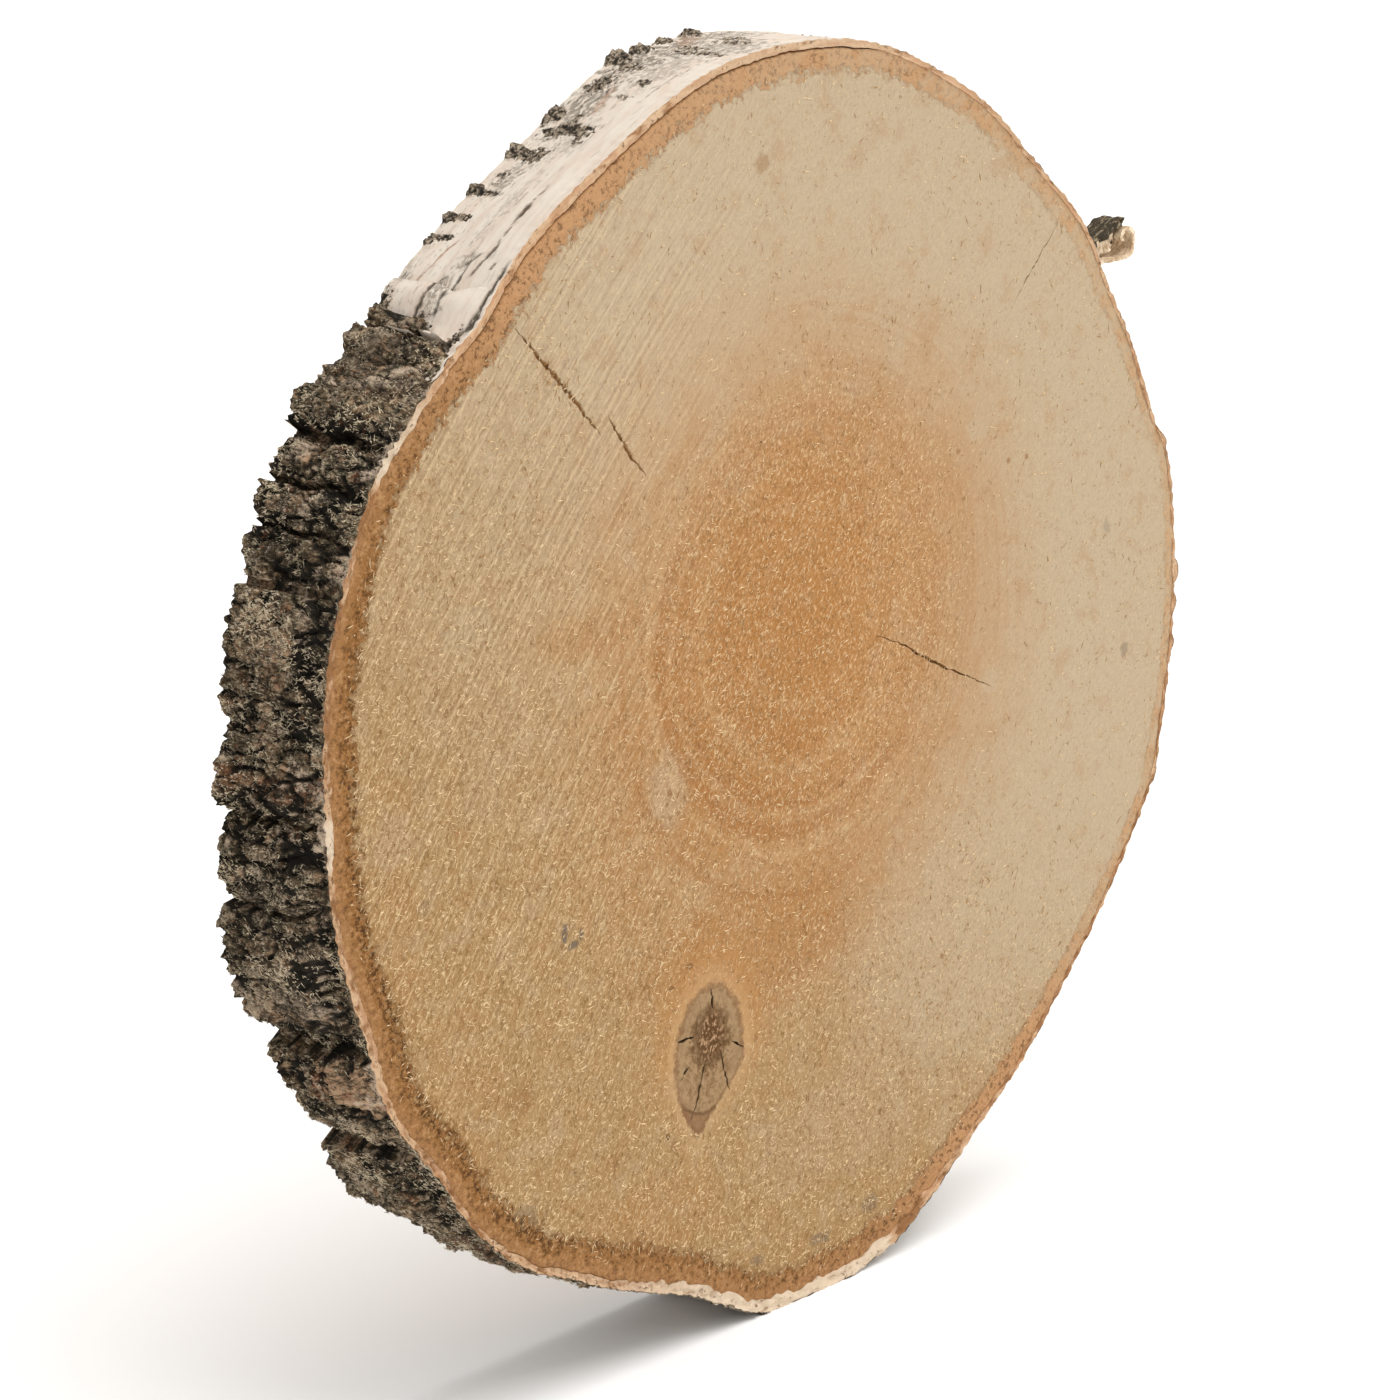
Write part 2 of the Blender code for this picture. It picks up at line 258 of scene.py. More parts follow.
CORK_FLAKES = (
    (2.2, 1.8, 2.8, 1.6, 2.6), (359.0, 2.4, 2.7, 1.5, 2.8), (354.9, 2.2, 2.2, 1.3, 2.6),
    (341.6, 1.8, 1.5, 1.6, 2.6), (16.2, 2.0, 1.2, 1.2, 2.6), (287.5, 3.0, 1.4, 1.6, 2.8),
    (121.0, 26.0, 1.8, 1.0, 3.6), (124.8, 26.0, 1.2, 0.9, 3.2), (127.6, 26.0, 1.2, 0.9, 3.0),
    (115.4, 26.0, 1.8, 1.2, 4.6), (110.0, 26.0, 1.4, 1.4, 5.0), (101.2, 26.0, 2.8, 1.4, 4.8),
    (98.4, 26.0, 1.8, 1.2, 5.0), (91.9, 26.0, 1.9, 1.3, 4.4), (95.4, 26.0, 1.0, 1.2, 5.0),
)
FOOT_FIRST = 266.0
FOOT_LAST = 279.0
FOOT_FILL = 1.2


def rough_zone(angle):
    """1 on the old rough bark, 0.4 on the far side and near 0.1 on the smooth white bark at the top."""
    old_bark = smooth_step(136.0, 140.0, angle) - smooth_step(236.0, 262.0, angle)
    far_side = smooth_step(236.0, 262.0, angle) + (1.0 - smooth_step(64.0, 88.0, angle))
    return 0.12 + 0.88 * old_bark + 0.42 * far_side


def plate_lift(angle):
    """How far the bark plate at this angle stands out, with a furrow at each of its edges."""
    lift = 0.0
    for first, last, lift_first, lift_last in BARK_PLATES:
        if first <= angle < last:
            share = (angle - first) / (last - first)
            edge = min(angle - first, last - angle)
            lift = lift_first + (lift_last - lift_first) * share + 0.5 * smooth_step(0.0, 1.4, edge)
    nearest = min(abs(around(angle, plate[1])) for plate in BARK_PLATES)
    return lift - 0.9 * math.exp(-((nearest / 1.1) ** 2))


def taper(angle, depth):
    """How far the trunk draws in at this angle and depth."""
    drawn = 0.0
    for rise, full, fade, end, amount in TAPERS:
        drawn += amount * (smooth_step(rise, full, angle) - smooth_step(fade, end, angle))
    return drawn * smooth_step(2.0, THICKNESS, depth)


def flake_lift(angle, depth):
    """The small flakes of cork that stand past the outline."""
    lift = 0.0
    for middle, flake_depth, height, half_width, half_depth in CORK_FLAKES:
        across = around(angle, middle) / half_width
        along = (depth - flake_depth) / half_depth
        reach = across * across + along * along
        if reach < 1.0:
            lift = max(lift, height * (1.0 - reach))
    return lift


def bark_relief(angle, depth):
    """How far the bark stands out of the front outline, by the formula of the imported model."""
    angle = angle % 360.0
    turn = math.radians(angle)
    rough = rough_zone(angle)
    wander = 1.3 * noise_at(turn * 6.4, depth * 0.16, 3.0) * (1.0 - depth / THICKNESS)
    ring = Vector((64.0 * math.cos(turn), 64.0 * math.sin(turn), 0.0))
    lumps = noise.noise(ring * 0.34 + Vector((0.0, 0.0, depth * 0.20)))
    grit = noise.noise(ring * 0.85 + Vector((7.0, 5.0, depth * 0.42)))
    lift = smooth_step(0.0, 9.0, depth) * plate_lift((angle + wander) % 360.0)
    lift += smooth_step(0.0, 3.0, depth) * rough * (1.25 * lumps + 0.7 * grit)
    lift += flake_lift(angle, depth) - taper(angle, depth)
    ragged_edge = 0.25 + 0.35 * rough
    return lift + ragged_edge * noise.noise(ring * 1.3) * (1.0 - smooth_step(0.0, 4.0, depth))


print("outline radius, least and most:", min(r for a, r in FRONT_OUTLINE), max(r for a, r in FRONT_OUTLINE))

# %% [markdown]
# ## The layers under the bark
# From the middle out, a birch has wood, a brown ring of living inner bark, and then cork. Each ring is
# wider on one side than on the other, so their widths are small tables by angle.

# %% Widths of the rings
CORK_WIDTH = (
    (0, 1.0), (45, 1.1), (75, 1.3), (90, 1.9), (110, 2.3), (130, 2.4), (142, 2.0), (160, 1.6), (175, 2.0),
    (180, 2.4), (186, 1.6), (194, 2.4), (200, 2.8), (207, 2.0), (222, 1.6), (240, 2.2), (262, 3.2),
    (285, 3.2), (292, 2.2), (305, 1.4), (330, 1.1),
)
RING_WIDTH = (
    (0, 2.9), (20, 2.6), (35, 3.4), (48, 4.3), (60, 4.4), (75, 4.6), (90, 5.2), (110, 5.4), (130, 5.2),
    (150, 5.6), (170, 6.2), (190, 6.6), (210, 7.0), (230, 6.6), (241, 6.8), (246, 8.4), (251, 6.6),
    (262, 6.0), (285, 5.6), (300, 5.0), (318, 4.0), (335, 3.2),
)
RAGGED_CORK = (
    (0, 0.25), (80, 0.25), (140, 0.35), (154, 0.50), (236, 0.60), (250, 1.30), (285, 1.30), (300, 0.50),
    (330, 0.30),
)


def wood_radius(angle):
    """Where the inner bark ends and the cork starts, along a ragged line."""
    turn = math.radians(angle)
    ring = Vector((math.cos(turn), math.sin(turn), 0.0))
    ragged = noise.noise(ring * 24.0) + 0.6 * noise.noise(ring * 66.0)
    width = by_angle(CORK_WIDTH, angle) + by_angle(RAGGED_CORK, angle) * ragged
    return front_radius(angle) - max(0.55, width)


# %% [markdown]
# ## Small helpers for modelling
# A piece starts as a flat grid from Blender's Add menu. The grid is then wrapped: each of its points
# reads its own place on the grid and moves to where a formula sends it. Its open edges are merged, so
# the piece is closed.

# %% Helpers for modelling
SMOOTH_UNDER = math.radians(50.0)


def select_only(piece):
    """Makes this the one selected and active object."""
    bpy.ops.object.select_all(action="DESELECT")
    piece.select_set(True)
    bpy.context.view_layer.objects.active = piece


def add_grid(name, columns, rows):
    """A flat grid, one metre on a side, with this many faces along it and across it."""
    bpy.ops.object.select_all(action="DESELECT")
    bpy.ops.mesh.primitive_grid_add(x_subdivisions=columns, y_subdivisions=rows, size=1.0)
    piece = bpy.context.active_object
    piece.name = name
    return piece


def zone_of(row, zones):
    """The zone that a row of a grid falls in, and its share from 0 to 1 through that zone."""
    for zone, count in zones:
        if row <= count:
            return zone, row / count
        row -= count


def grid_shares(piece):
    """For each point of a fresh grid, how far it is along and across, from 0 to 1."""
    return [(point.co.x + 0.5, point.co.y + 0.5) for point in piece.data.vertices]


def move_points(piece, points):
    """Moves every point of the piece to its new place."""
    piece.data.vertices.foreach_set("co", [value for point in points for value in point])
    piece.data.update()


def set_mark(piece, name, values):
    """Stores one number for each point, for a material to read."""
    layer = piece.data.attributes.new(name, "FLOAT", "POINT")
    layer.data.foreach_set("value", values)


def set_place_mark(piece, name, places):
    """Stores a place for each point, for a material whose pattern follows the surface."""
    layer = piece.data.attributes.new(name, "FLOAT_VECTOR", "POINT")
    layer.data.foreach_set("vector", [value for place_of in places for value in place_of])


def close_up(piece):
    """Merges the seams, fills what is still open and turns every face outwards."""
    select_only(piece)
    bpy.ops.object.mode_set(mode="EDIT")
    bpy.ops.mesh.select_all(action="SELECT")
    bpy.ops.mesh.remove_doubles(threshold=1e-6)
    bpy.ops.mesh.fill_holes(sides=0)
    bpy.ops.mesh.select_all(action="SELECT")
    bpy.ops.mesh.normals_make_consistent(inside=False)
    bpy.ops.object.mode_set(mode="OBJECT")
    bpy.ops.object.shade_smooth_by_angle(angle=SMOOTH_UNDER)
    print(piece.name, "has", len(piece.data.polygons), "faces")


# %% [markdown]
# ## Small helpers for materials
# A material is a network of nodes. These words add one node each and give back its output, so that a
# recipe reads as a list of steps. A number or an output of another node can go into every input.

# %% Helpers for materials


class Recipe:
    """The nodes of one material or node group, added by short words."""

    OFF_GRID = (3.1, 7.3, 5.7)

    def __init__(self, tree):
        self.tree = tree

    def add(self, kind, inputs, **settings):
        """Adds a node with its settings, and fills its inputs with numbers or links."""
        node = self.tree.nodes.new(kind)
        for name, value in settings.items():
            setattr(node, name, value)
        for name, value in inputs.items():
            if isinstance(value, bpy.types.NodeSocket):
                self.tree.links.new(value, node.inputs[name])
            else:
                node.inputs[name].default_value = value
        return node

    def math(self, operation, first, second=0.0, third=0.0):
        """A sum, a product or another step of arithmetic."""
        return self.add("ShaderNodeMath", {0: first, 1: second, 2: third}, operation=operation).outputs[0]

    def times(self, first, second):
        """The product of two numbers."""
        return self.math("MULTIPLY", first, second)

    def plus(self, first, second):
        """The sum of two numbers."""
        return self.math("ADD", first, second)

    def times_plus(self, first, second, third):
        """The product of the first two numbers, and the third added."""
        return self.math("MULTIPLY_ADD", first, second, third)

    def ramp(self, value, low, high, start=0.0, end=1.0):
        """A soft ramp from start to end while the value goes from low to high."""
        inputs = {"Value": value, "From Min": low, "From Max": high, "To Min": start, "To Max": end}
        return self.add("ShaderNodeMapRange", inputs, interpolation_type="SMOOTHSTEP").outputs[0]

    def mix(self, share, first, second):
        """One colour over another, by a share from 0 to 1."""
        inputs = {0: share, 6: self.colour(first), 7: self.colour(second)}
        return self.add("ShaderNodeMix", inputs, data_type="RGBA").outputs[2]

    def colour(self, value):
        """Three numbers as a colour, or an output as it is."""
        return value if isinstance(value, bpy.types.NodeSocket) else (*value, 1.0)

    def noise(self, where, size, detail=2.0, rough=0.5, stretch=None, turn=0.0):
        """Soft noise with lumps about this many millimetres wide, stretched and turned where asked.

        The shift keeps the flat face off the grid of the noise, where its lumps would turn square.
        """
        if stretch is not None or turn:
            inputs = {"Vector": where, "Rotation": (0.0, turn, 0.0), "Scale": stretch or (1.0, 1.0, 1.0)}
            where = self.add("ShaderNodeMapping", inputs, vector_type="TEXTURE").outputs[0]
        where = self.vector("ADD", where, self.OFF_GRID).outputs[0]
        inputs = {"Vector": where, "Scale": 1.0 / size, "Detail": detail, "Roughness": rough}
        return self.add("ShaderNodeTexNoise", inputs).outputs["Fac"]

    def sway(self, amount, where, size, detail=2.0, rough=0.5):
        """Noise that swings to both sides of zero, by up to half of this amount."""
        return self.times(self.math("SUBTRACT", self.noise(where, size, detail, rough), 0.5), amount)

    def line_noise(self, value, size, detail=2.0, rough=0.5):
        """Noise along one number, such as the distance from a point."""
        inputs = {"W": value, "Scale": 1.0 / size, "Detail": detail, "Roughness": rough}
        return self.add("ShaderNodeTexNoise", inputs, noise_dimensions="1D").outputs["Fac"]

    def mark(self, name, output="Fac"):
        """A number or a place that the mesh stores at its points."""
        return self.add("ShaderNodeAttribute", {}, attribute_name=name).outputs[output]

    def split(self, vector):
        """The three numbers of a vector."""
        return self.add("ShaderNodeSeparateXYZ", {"Vector": vector}).outputs

    def vector(self, operation, first, second=(0.0, 0.0, 0.0)):
        """One step of arithmetic with vectors."""
        return self.add("ShaderNodeVectorMath", {0: first, 1: second}, operation=operation)

    def distance(self, where, point):
        """How far a place is from a point."""
        return self.vector("DISTANCE", where, point).outputs["Value"]

    def group(self, tree, inputs):
        """A node group placed with its own values."""
        return self.add("ShaderNodeGroup", inputs, node_tree=tree).outputs[0]

    def finish(self, shader, colour, height=None, strength=0.0, distance=0.0):
        """Gives the shader its colour, and small bumps of this strength and height in metres."""
        self.tree.links.new(colour, shader.inputs["Base Color"])
        if height is not None:
            inputs = {"Strength": strength, "Distance": distance, "Height": height}
            bump = self.add("ShaderNodeBump", inputs)
            self.tree.links.new(bump.outputs[0], shader.inputs["Normal"])


SHINE = 0.12


def new_material(name, roughness):
    """A matt material, its recipe and its shader."""
    material = bpy.data.materials.new(name)
    material.use_nodes = True
    shader = material.node_tree.nodes["Principled BSDF"]
    shader.inputs["Roughness"].default_value = roughness
    shader.inputs["Specular IOR Level"].default_value = SHINE
    return material, Recipe(material.node_tree), shader


def new_group(name, inputs, output, output_kind="NodeSocketFloat"):
    """An empty node group with named sockets, its recipe, and its two ends."""
    tree = bpy.data.node_groups.new(name, "ShaderNodeTree")
    for socket_name, kind in inputs:
        tree.interface.new_socket(socket_name, in_out="INPUT", socket_type=kind)
    tree.interface.new_socket(output, in_out="OUTPUT", socket_type=output_kind)
    start = tree.nodes.new("NodeGroupInput")
    end = tree.nodes.new("NodeGroupOutput")
    return tree, Recipe(tree), start.outputs, end.inputs


# %% [markdown]
# ## Three effects that several materials share
# The first turns a point into its place on the slice in millimetres. The second is a soft spot with a
# frayed edge, for stains and tinted zones. The third is the fine fuzz of torn fibres that a saw leaves.

# %% Shared effects
NUMBER = "NodeSocketFloat"
PLACE = "NodeSocketVector"

slice_place, r, start, end = new_group("slice_place", (), "Place", PLACE)
object_place = r.add("ShaderNodeTexCoord", {}).outputs["Object"]
front_middle = place(0.0, 0.0, 0.0)
from_middle = r.vector("SUBTRACT", object_place, front_middle).outputs[0]
scaled = r.add("ShaderNodeVectorMath", {0: from_middle, "Scale": 1.0 / MM}, operation="SCALE").outputs[0]
r.tree.links.new(scaled, end["Place"])

soft_spot, r, start, end = new_group(
    "soft_spot", (("Place", PLACE), ("Middle", PLACE), ("Half Size", PLACE), ("Fray", NUMBER)), "Mask",
)
offset = r.vector("SUBTRACT", start["Place"], start["Middle"]).outputs[0]
reach = r.vector("LENGTH", r.vector("DIVIDE", offset, start["Half Size"]).outputs[0]).outputs["Value"]
fray = r.sway(start["Fray"], start["Place"], 3.0, 4.0, 0.65)
r.tree.links.new(r.ramp(r.plus(reach, fray), 1.15, 0.55), end["Mask"])

torn_fuzz, r, start, end = new_group("torn_fuzz", (("Place", PLACE),), "Fuzz")
long_fuzz = r.noise(start["Place"], 0.66, 4.0, 0.75, stretch=(1.9, 1.0, 1.0), turn=-math.radians(50.0))
short_fuzz = r.noise(start["Place"], 0.62, 4.0, 0.75, stretch=(1.0, 1.0, 1.5), turn=math.radians(25.0))
r.tree.links.new(r.times_plus(long_fuzz, 0.5, r.times(short_fuzz, 0.5)), end["Fuzz"])
print("shared effects:", [tree.name for tree in bpy.data.node_groups])

# %% [markdown]
# ## The sawn wood
# The body of the slice is a disc of wood with two sawn faces and the ring of inner bark round it. A
# cylinder would do for the shape, but the edge has to follow the trunk and the points have to be close
# together near it. So a grid is wrapped: its length goes round the slice, and its width goes from the
# middle of the front face, over the edge, to the middle of the back face.

# %% Rows of the disc
DISC_COLUMNS = 900
DISC_ZONES = (("front", 34), ("front ring", 26), ("side", 3), ("back ring", 10), ("back", 24))
RING_BAND = 12.0
GAP_TABLE = (
    (0, 0.0), (76, 0.0), (90, 0.7), (136, 0.7), (142, 0.15), (230, 0.2), (290, 0.1), (300, 0.0),
)


def disc_point(angle, zone, share):
    """The point of the disc at this angle, in metres."""
    edge = wood_radius(angle)
    gap = by_angle(GAP_TABLE, angle)
    band = edge - RING_BAND
    turn = math.radians(angle)
    if zone == "front":
        return place_round(angle, band * share, FACE_STEP)
    if zone == "front ring":
        radius = band + (RING_BAND + 0.2 - 0.45 * smooth_step(0.0, 0.3, gap)) * share
        ring_start = edge - by_angle(RING_WIDTH, angle)
        in_ring = smooth_step(ring_start - 0.6, ring_start + 0.8, radius)
        crumbs = noise_at(radius * math.cos(turn) * 1.1, radius * math.sin(turn) * 1.1, 4.0)
        fine = noise_at(radius * math.cos(turn) * 2.6, radius * math.sin(turn) * 2.6, 1.0)
        sink = in_ring * (0.22 + 0.22 * crumbs + 0.12 * fine)
        sink += 0.9 * gap * smooth_step(edge - 0.75, edge - 0.25, radius)
        return place_round(angle, radius, FACE_STEP + max(-0.2, sink))
    if zone == "side":
        depth = 1.6 + (THICKNESS - 2.6) * share
        return place_round(angle, edge + 0.3, depth)
    if zone == "back ring":
        return place_round(angle, edge - RING_BAND * share, THICKNESS - FACE_STEP)
    return place_round(angle, band * (1.0 - share), THICKNESS - FACE_STEP)


# %% Wrap the disc
DISC_ROWS = sum(count for zone, count in DISC_ZONES)
sawn_wood = add_grid("sawn_wood", DISC_COLUMNS, DISC_ROWS)
disc_points = []
for along, across in grid_shares(sawn_wood):
    zone, share = zone_of(round(across * DISC_ROWS), DISC_ZONES)
    disc_points.append(disc_point(along * 360.0, zone, share))
move_points(sawn_wood, disc_points)
close_up(sawn_wood)

# %% [markdown]
# ## The drying cracks
# Wood shrinks as it dries, and the face splits along lines that run from the middle outwards. A dark
# painted line has no depth when the light moves, so each crack is a thin wedge that a Boolean cuts out
# of the disc. The wedge wanders a little from side to side, as a split that follows the grain does.

# %% Crack lines
CRACKS = (
    (((-78.6, 85.0), (-73.0, 79.6), (-67.6, 74.0), (-62.2, 68.6), (-56.2, 62.0)), 2.30, 0.7),
    (((-54.2, 65.4), (-50.6, 60.4), (-47.4, 56.0), (-43.8, 52.4)), 1.80, 0.6),
    (((25.0, 8.6), (34.0, 5.0), (44.0, -0.6), (54.6, -5.4), (63.6, -9.6)), 0.95, 0.8),
    (((84.2, 89.2), (79.4, 83.8), (74.0, 78.4), (69.0, 73.0)), 0.75, 0.7),
)
KNOT_MIDDLE = (-25.6, -69.0)
KNOT_CRACKS = (
    ((1.0, 9.2), (0.6, 11.2), (0.3, 13.6)),
    ((-4.9, 4.5), (-7.0, 4.7), (-9.4, 4.6)),
    ((6.4, 0.8), (8.2, -0.2), (10.3, -1.3)),
    ((-0.9, -0.6), (-2.6, -5.0), (-3.6, -8.6), (-5.7, -13.2)),
    ((3.2, -0.2), (4.2, -4.0), (5.0, -6.6), (6.1, -9.6)),
    ((-6.0, -1.3), (-7.3, -2.4), (-8.8, -3.8)),
)
KNOT_CRACK_WIDTH = 0.70
KNOT_CRACK_DEPTH = 1.5
CRACK_STEP = 0.8
CUT_ABOVE = 1.0


def crack_stations(points, seed):
    """Points close together along a crack line, each pushed a little to the side."""
    line = []
    for first, last in zip(points, points[1:]):
        run = math.hypot(last[0] - first[0], last[1] - first[1])
        count = max(2, round(run / CRACK_STEP))
        side = (-(last[1] - first[1]) / run, (last[0] - first[0]) / run)
        for step in range(count):
            share = step / count
            across = first[0] + (last[0] - first[0]) * share
            up = first[1] + (last[1] - first[1]) * share
            push = 0.35 * noise_at(across * 0.55, up * 0.55, seed)
            line.append((across + side[0] * push, up + side[1] * push, side))
    line.append((points[-1][0], points[-1][1], side))
    return line


def add_wedge(work, points, width, deep, seed):
    """One wedge for one crack, deep in its middle and shallow at its ends."""
    line = crack_stations(points, seed)
    sections = []
    for index, (across, up, side) in enumerate(line):
        share = math.sin(math.pi * (index + 0.6) / (len(line) + 0.2))
        wave = max(0.2, 1.0 + 1.6 * noise_at(across * 1.9, up * 1.9, seed + 5.0))
        bottom = FACE_STEP + deep * (0.3 + 0.7 * share)
        half = width * 0.5 * (0.3 + 0.7 * share) * wave * (bottom + CUT_ABOVE) / (bottom - FACE_STEP + 0.5)
        half = min(half, width * 1.1)
        left = place(across + side[0] * half, up + side[1] * half, -CUT_ABOVE)
        right = place(across - side[0] * half, up - side[1] * half, -CUT_ABOVE)
        sections.append([work.verts.new(point) for point in (left, right, place(across, up, bottom))])
    for here, there in zip(sections, sections[1:]):
        for first, second in ((0, 1), (1, 2), (2, 0)):
            work.faces.new((here[first], here[second], there[second], there[first]))
    work.faces.new(sections[0])
    work.faces.new(tuple(reversed(sections[-1])))


# %% Cut the cracks
work = bmesh.new()
for number, (points, width, deep) in enumerate(CRACKS):
    add_wedge(work, points, width, deep, number * 3.1)
for number, offsets in enumerate(KNOT_CRACKS):
    points = [(KNOT_MIDDLE[0] + across, KNOT_MIDDLE[1] + up) for across, up in offsets]
    add_wedge(work, points, KNOT_CRACK_WIDTH, KNOT_CRACK_DEPTH, 20.0 + number)
bmesh.ops.recalc_face_normals(work, faces=work.faces)
wedge_mesh = bpy.data.meshes.new("crack_wedges")
work.to_mesh(wedge_mesh)
work.free()
wedges = bpy.data.objects.new("crack_wedges", wedge_mesh)
bpy.context.scene.collection.objects.link(wedges)
select_only(sawn_wood)
cut = sawn_wood.modifiers.new("cracks", "BOOLEAN")
cut.operation = "DIFFERENCE"
cut.solver = "EXACT"
cut.object = wedges
bpy.ops.object.modifier_apply(modifier="cracks")
bpy.data.objects.remove(wedges)
print("faces after the cracks:", len(sawn_wood.data.polygons))

# %% [markdown]
# ## Where the inner bark lies
# The material has to know how deep in the ring of inner bark a point is, and how brown the ring is
# there. Both are stored on the points of the disc, worked out from their place.

# %% Marks on the disc
RING_PALENESS = (
    (0, 0.95), (25, 0.94), (40, 0.84), (60, 0.74), (80, 0.66), (100, 0.60), (125, 0.50), (140, 0.22),
    (160, 0.08), (230, 0.10), (262, 0.14), (285, 0.22), (300, 0.40), (320, 0.65), (340, 0.85),
)
GRUBBY_EDGE = (
    (0, 0.0), (120, 0.0), (150, 0.25), (165, 0.7), (185, 1.0), (232, 1.0), (246, 0.30), (275, 0.12),
    (300, 0.0),
)
ring_shares = []
paleness = []
grubby = []
for point in sawn_wood.data.vertices:
    across = point.co.x / MM - MIDDLE_SHIFT
    up = point.co.z / MM - MIDDLE_HEIGHT
    angle = math.degrees(math.atan2(up, across)) % 360.0
    width = by_angle(RING_WIDTH, angle)
    ring_shares.append((math.hypot(across, up) - wood_radius(angle) + width) / width)
    paleness.append(by_angle(RING_PALENESS, angle))
    grubby.append(by_angle(GRUBBY_EDGE, angle))
set_mark(sawn_wood, "ring_share", ring_shares)
set_mark(sawn_wood, "ring_paleness", paleness)
set_mark(sawn_wood, "grubby_edge", grubby)
print("points with marks:", len(ring_shares))

# %% [markdown]
# ## The look of the sawn face
# Heartwood is orange-tan, sapwood is pale beige. Soft growth rings run round the pith, and the saw has
# left slanted streaks across them. The colours are mixed in that order: wood, rings, streaks, stains,
# knot, inner bark, and last the painted shade in the cracks.

# %% Colours of the wood
SAP_PALE = (0.484, 0.382, 0.256)
SAP_WARM = (0.376, 0.236, 0.101)
HEART = (0.450, 0.226, 0.078)
HEART_DEEP = (0.372, 0.165, 0.045)
RING_ORANGE = (0.330, 0.135, 0.034)
SAP_WARM_PALE = (0.560, 0.370, 0.185)
FUZZ_LIGHT = (0.78, 0.61, 0.38)
# Dark fibres, also used as painted shade in the pits between the fibres.
FIBRE_DARK_AND_PIT_SHADE = (0.17, 0.085, 0.030)
RING_BROWN = (0.275, 0.125, 0.034)
RING_TAN = (0.500, 0.275, 0.130)
RING_CRUMB = (0.060, 0.024, 0.008)
GRUBBY = (0.070, 0.030, 0.010)
RING_LIGHT = (0.560, 0.340, 0.165)
RING_PALE = (0.540, 0.345, 0.190)
# Painted shade for the insides of the cracks: brown in the wood, near black in the knot.
CRACK_SHADE = (0.250, 0.118, 0.032)
KNOT_CRACK_SHADE = (0.014, 0.009, 0.006)
SPECK_RED = (0.330, 0.110, 0.035)
SPECK_DARK = (0.090, 0.045, 0.018)
KNOT_GREY = (0.225, 0.134, 0.060)
KNOT_PALE = (0.370, 0.246, 0.130)
KNOT_CORE = (0.098, 0.044, 0.014)
KNOT_THREAD = (0.520, 0.330, 0.180)
KNOT_RED = (0.200, 0.085, 0.036)
STAIN_BROWN = (0.285, 0.145, 0.055)
STAIN_GREY = (0.150, 0.120, 0.090)
PITH = (4.0, 0.0, 23.0)
LAST_RING = 127.0
SAW_MIDDLE = (416.0, 0.0, -355.0)

# %% Wood, rings and streaks
wood_paint, r, wood_shader = new_material("sawn_birch", 0.82)
where = r.group(slice_place, {})
across_up = r.vector("MULTIPLY", where, (1.0, 0.0, 1.0)).outputs[0]
wobble = r.sway(12.0, across_up, 34.0, 2.0)
ring_wobble = r.times(wobble, 0.30)
pith_distance = r.distance(across_up, PITH)
pull = r.math("SUBTRACT", 1.0, r.math("DIVIDE", pith_distance, LAST_RING))
ring_middle = r.add("ShaderNodeVectorMath", {0: PITH, "Scale": pull}, operation="SCALE").outputs[0]
ring_radius = r.plus(r.distance(across_up, ring_middle), ring_wobble)
places = r.split(across_up)
slant = r.plus(r.times(places["X"], SLANT[0]), r.times(places["Z"], SLANT[1]))
sap = r.mix(r.ramp(r.plus(slant, wobble), -75.0, 45.0), SAP_WARM, SAP_PALE)
heart_share = r.ramp(r.plus(ring_radius, wobble), 98.0, 8.0)
wood = r.mix(heart_share, sap, HEART)
fine_wobble = r.sway(1.8, across_up, 5.0, 3.0, 0.6)
ring_lines = r.line_noise(r.plus(ring_radius, fine_wobble), 2.6, 3.0, 0.6)
ring_lines = r.ramp(ring_lines, 0.42, 0.66)
ring_zone = r.times(r.ramp(ring_radius, 6.0, 24.0), r.ramp(ring_radius, 88.0, 52.0))
ring_patches = r.ramp(r.noise(across_up, 30.0, 2.0), 0.36, 0.62)
ring_strength = r.times(r.times(ring_lines, ring_zone), ring_patches)
wood = r.mix(r.times(ring_strength, 0.26), wood, HEART_DEEP)
broad_rings = r.line_noise(r.plus(ring_radius, fine_wobble), 5.5, 2.0, 0.5)
broad_side = r.times(r.ramp(slant, 36.0, -20.0, 0.30, 1.0), r.ramp(ring_radius, 70.0, 44.0))
broad_side = r.times(broad_side, r.ramp(ring_radius, 12.0, 22.0))
broad_side = r.times(broad_side, r.ramp(r.noise(across_up, 17.0, 3.0, 0.6), 0.36, 0.56, 0.20, 1.0))
mottle = r.noise(across_up, 8.0, 4.0, 0.65)
wood = r.mix(r.ramp(mottle, 0.50, 0.66, 0.0, 0.26), wood, SAP_PALE)
wood = r.mix(r.ramp(mottle, 0.48, 0.34, 0.0, 0.20), wood, HEART_DEEP)
saw_ragged = r.sway(0.7, across_up, 1.6, 3.0, 0.65)
saw_distance = r.plus(r.distance(across_up, SAW_MIDDLE), saw_ragged)
saw_breaks = r.noise(across_up, 1.4, 3.0, 0.65, stretch=(2.6, 1.0, 1.0), turn=-math.radians(54.0))
saw_lines = r.times(r.line_noise(saw_distance, 0.90, 2.0, 0.6), 0.62)
streaks = r.times_plus(saw_breaks, 0.38, saw_lines)
streak_zone = r.ramp(r.plus(places["X"], wobble), 0.0, -70.0, 0.10, 1.0)
streak_zone = r.times(streak_zone, r.ramp(places["Z"], -90.0, -20.0, 0.30, 1.0))

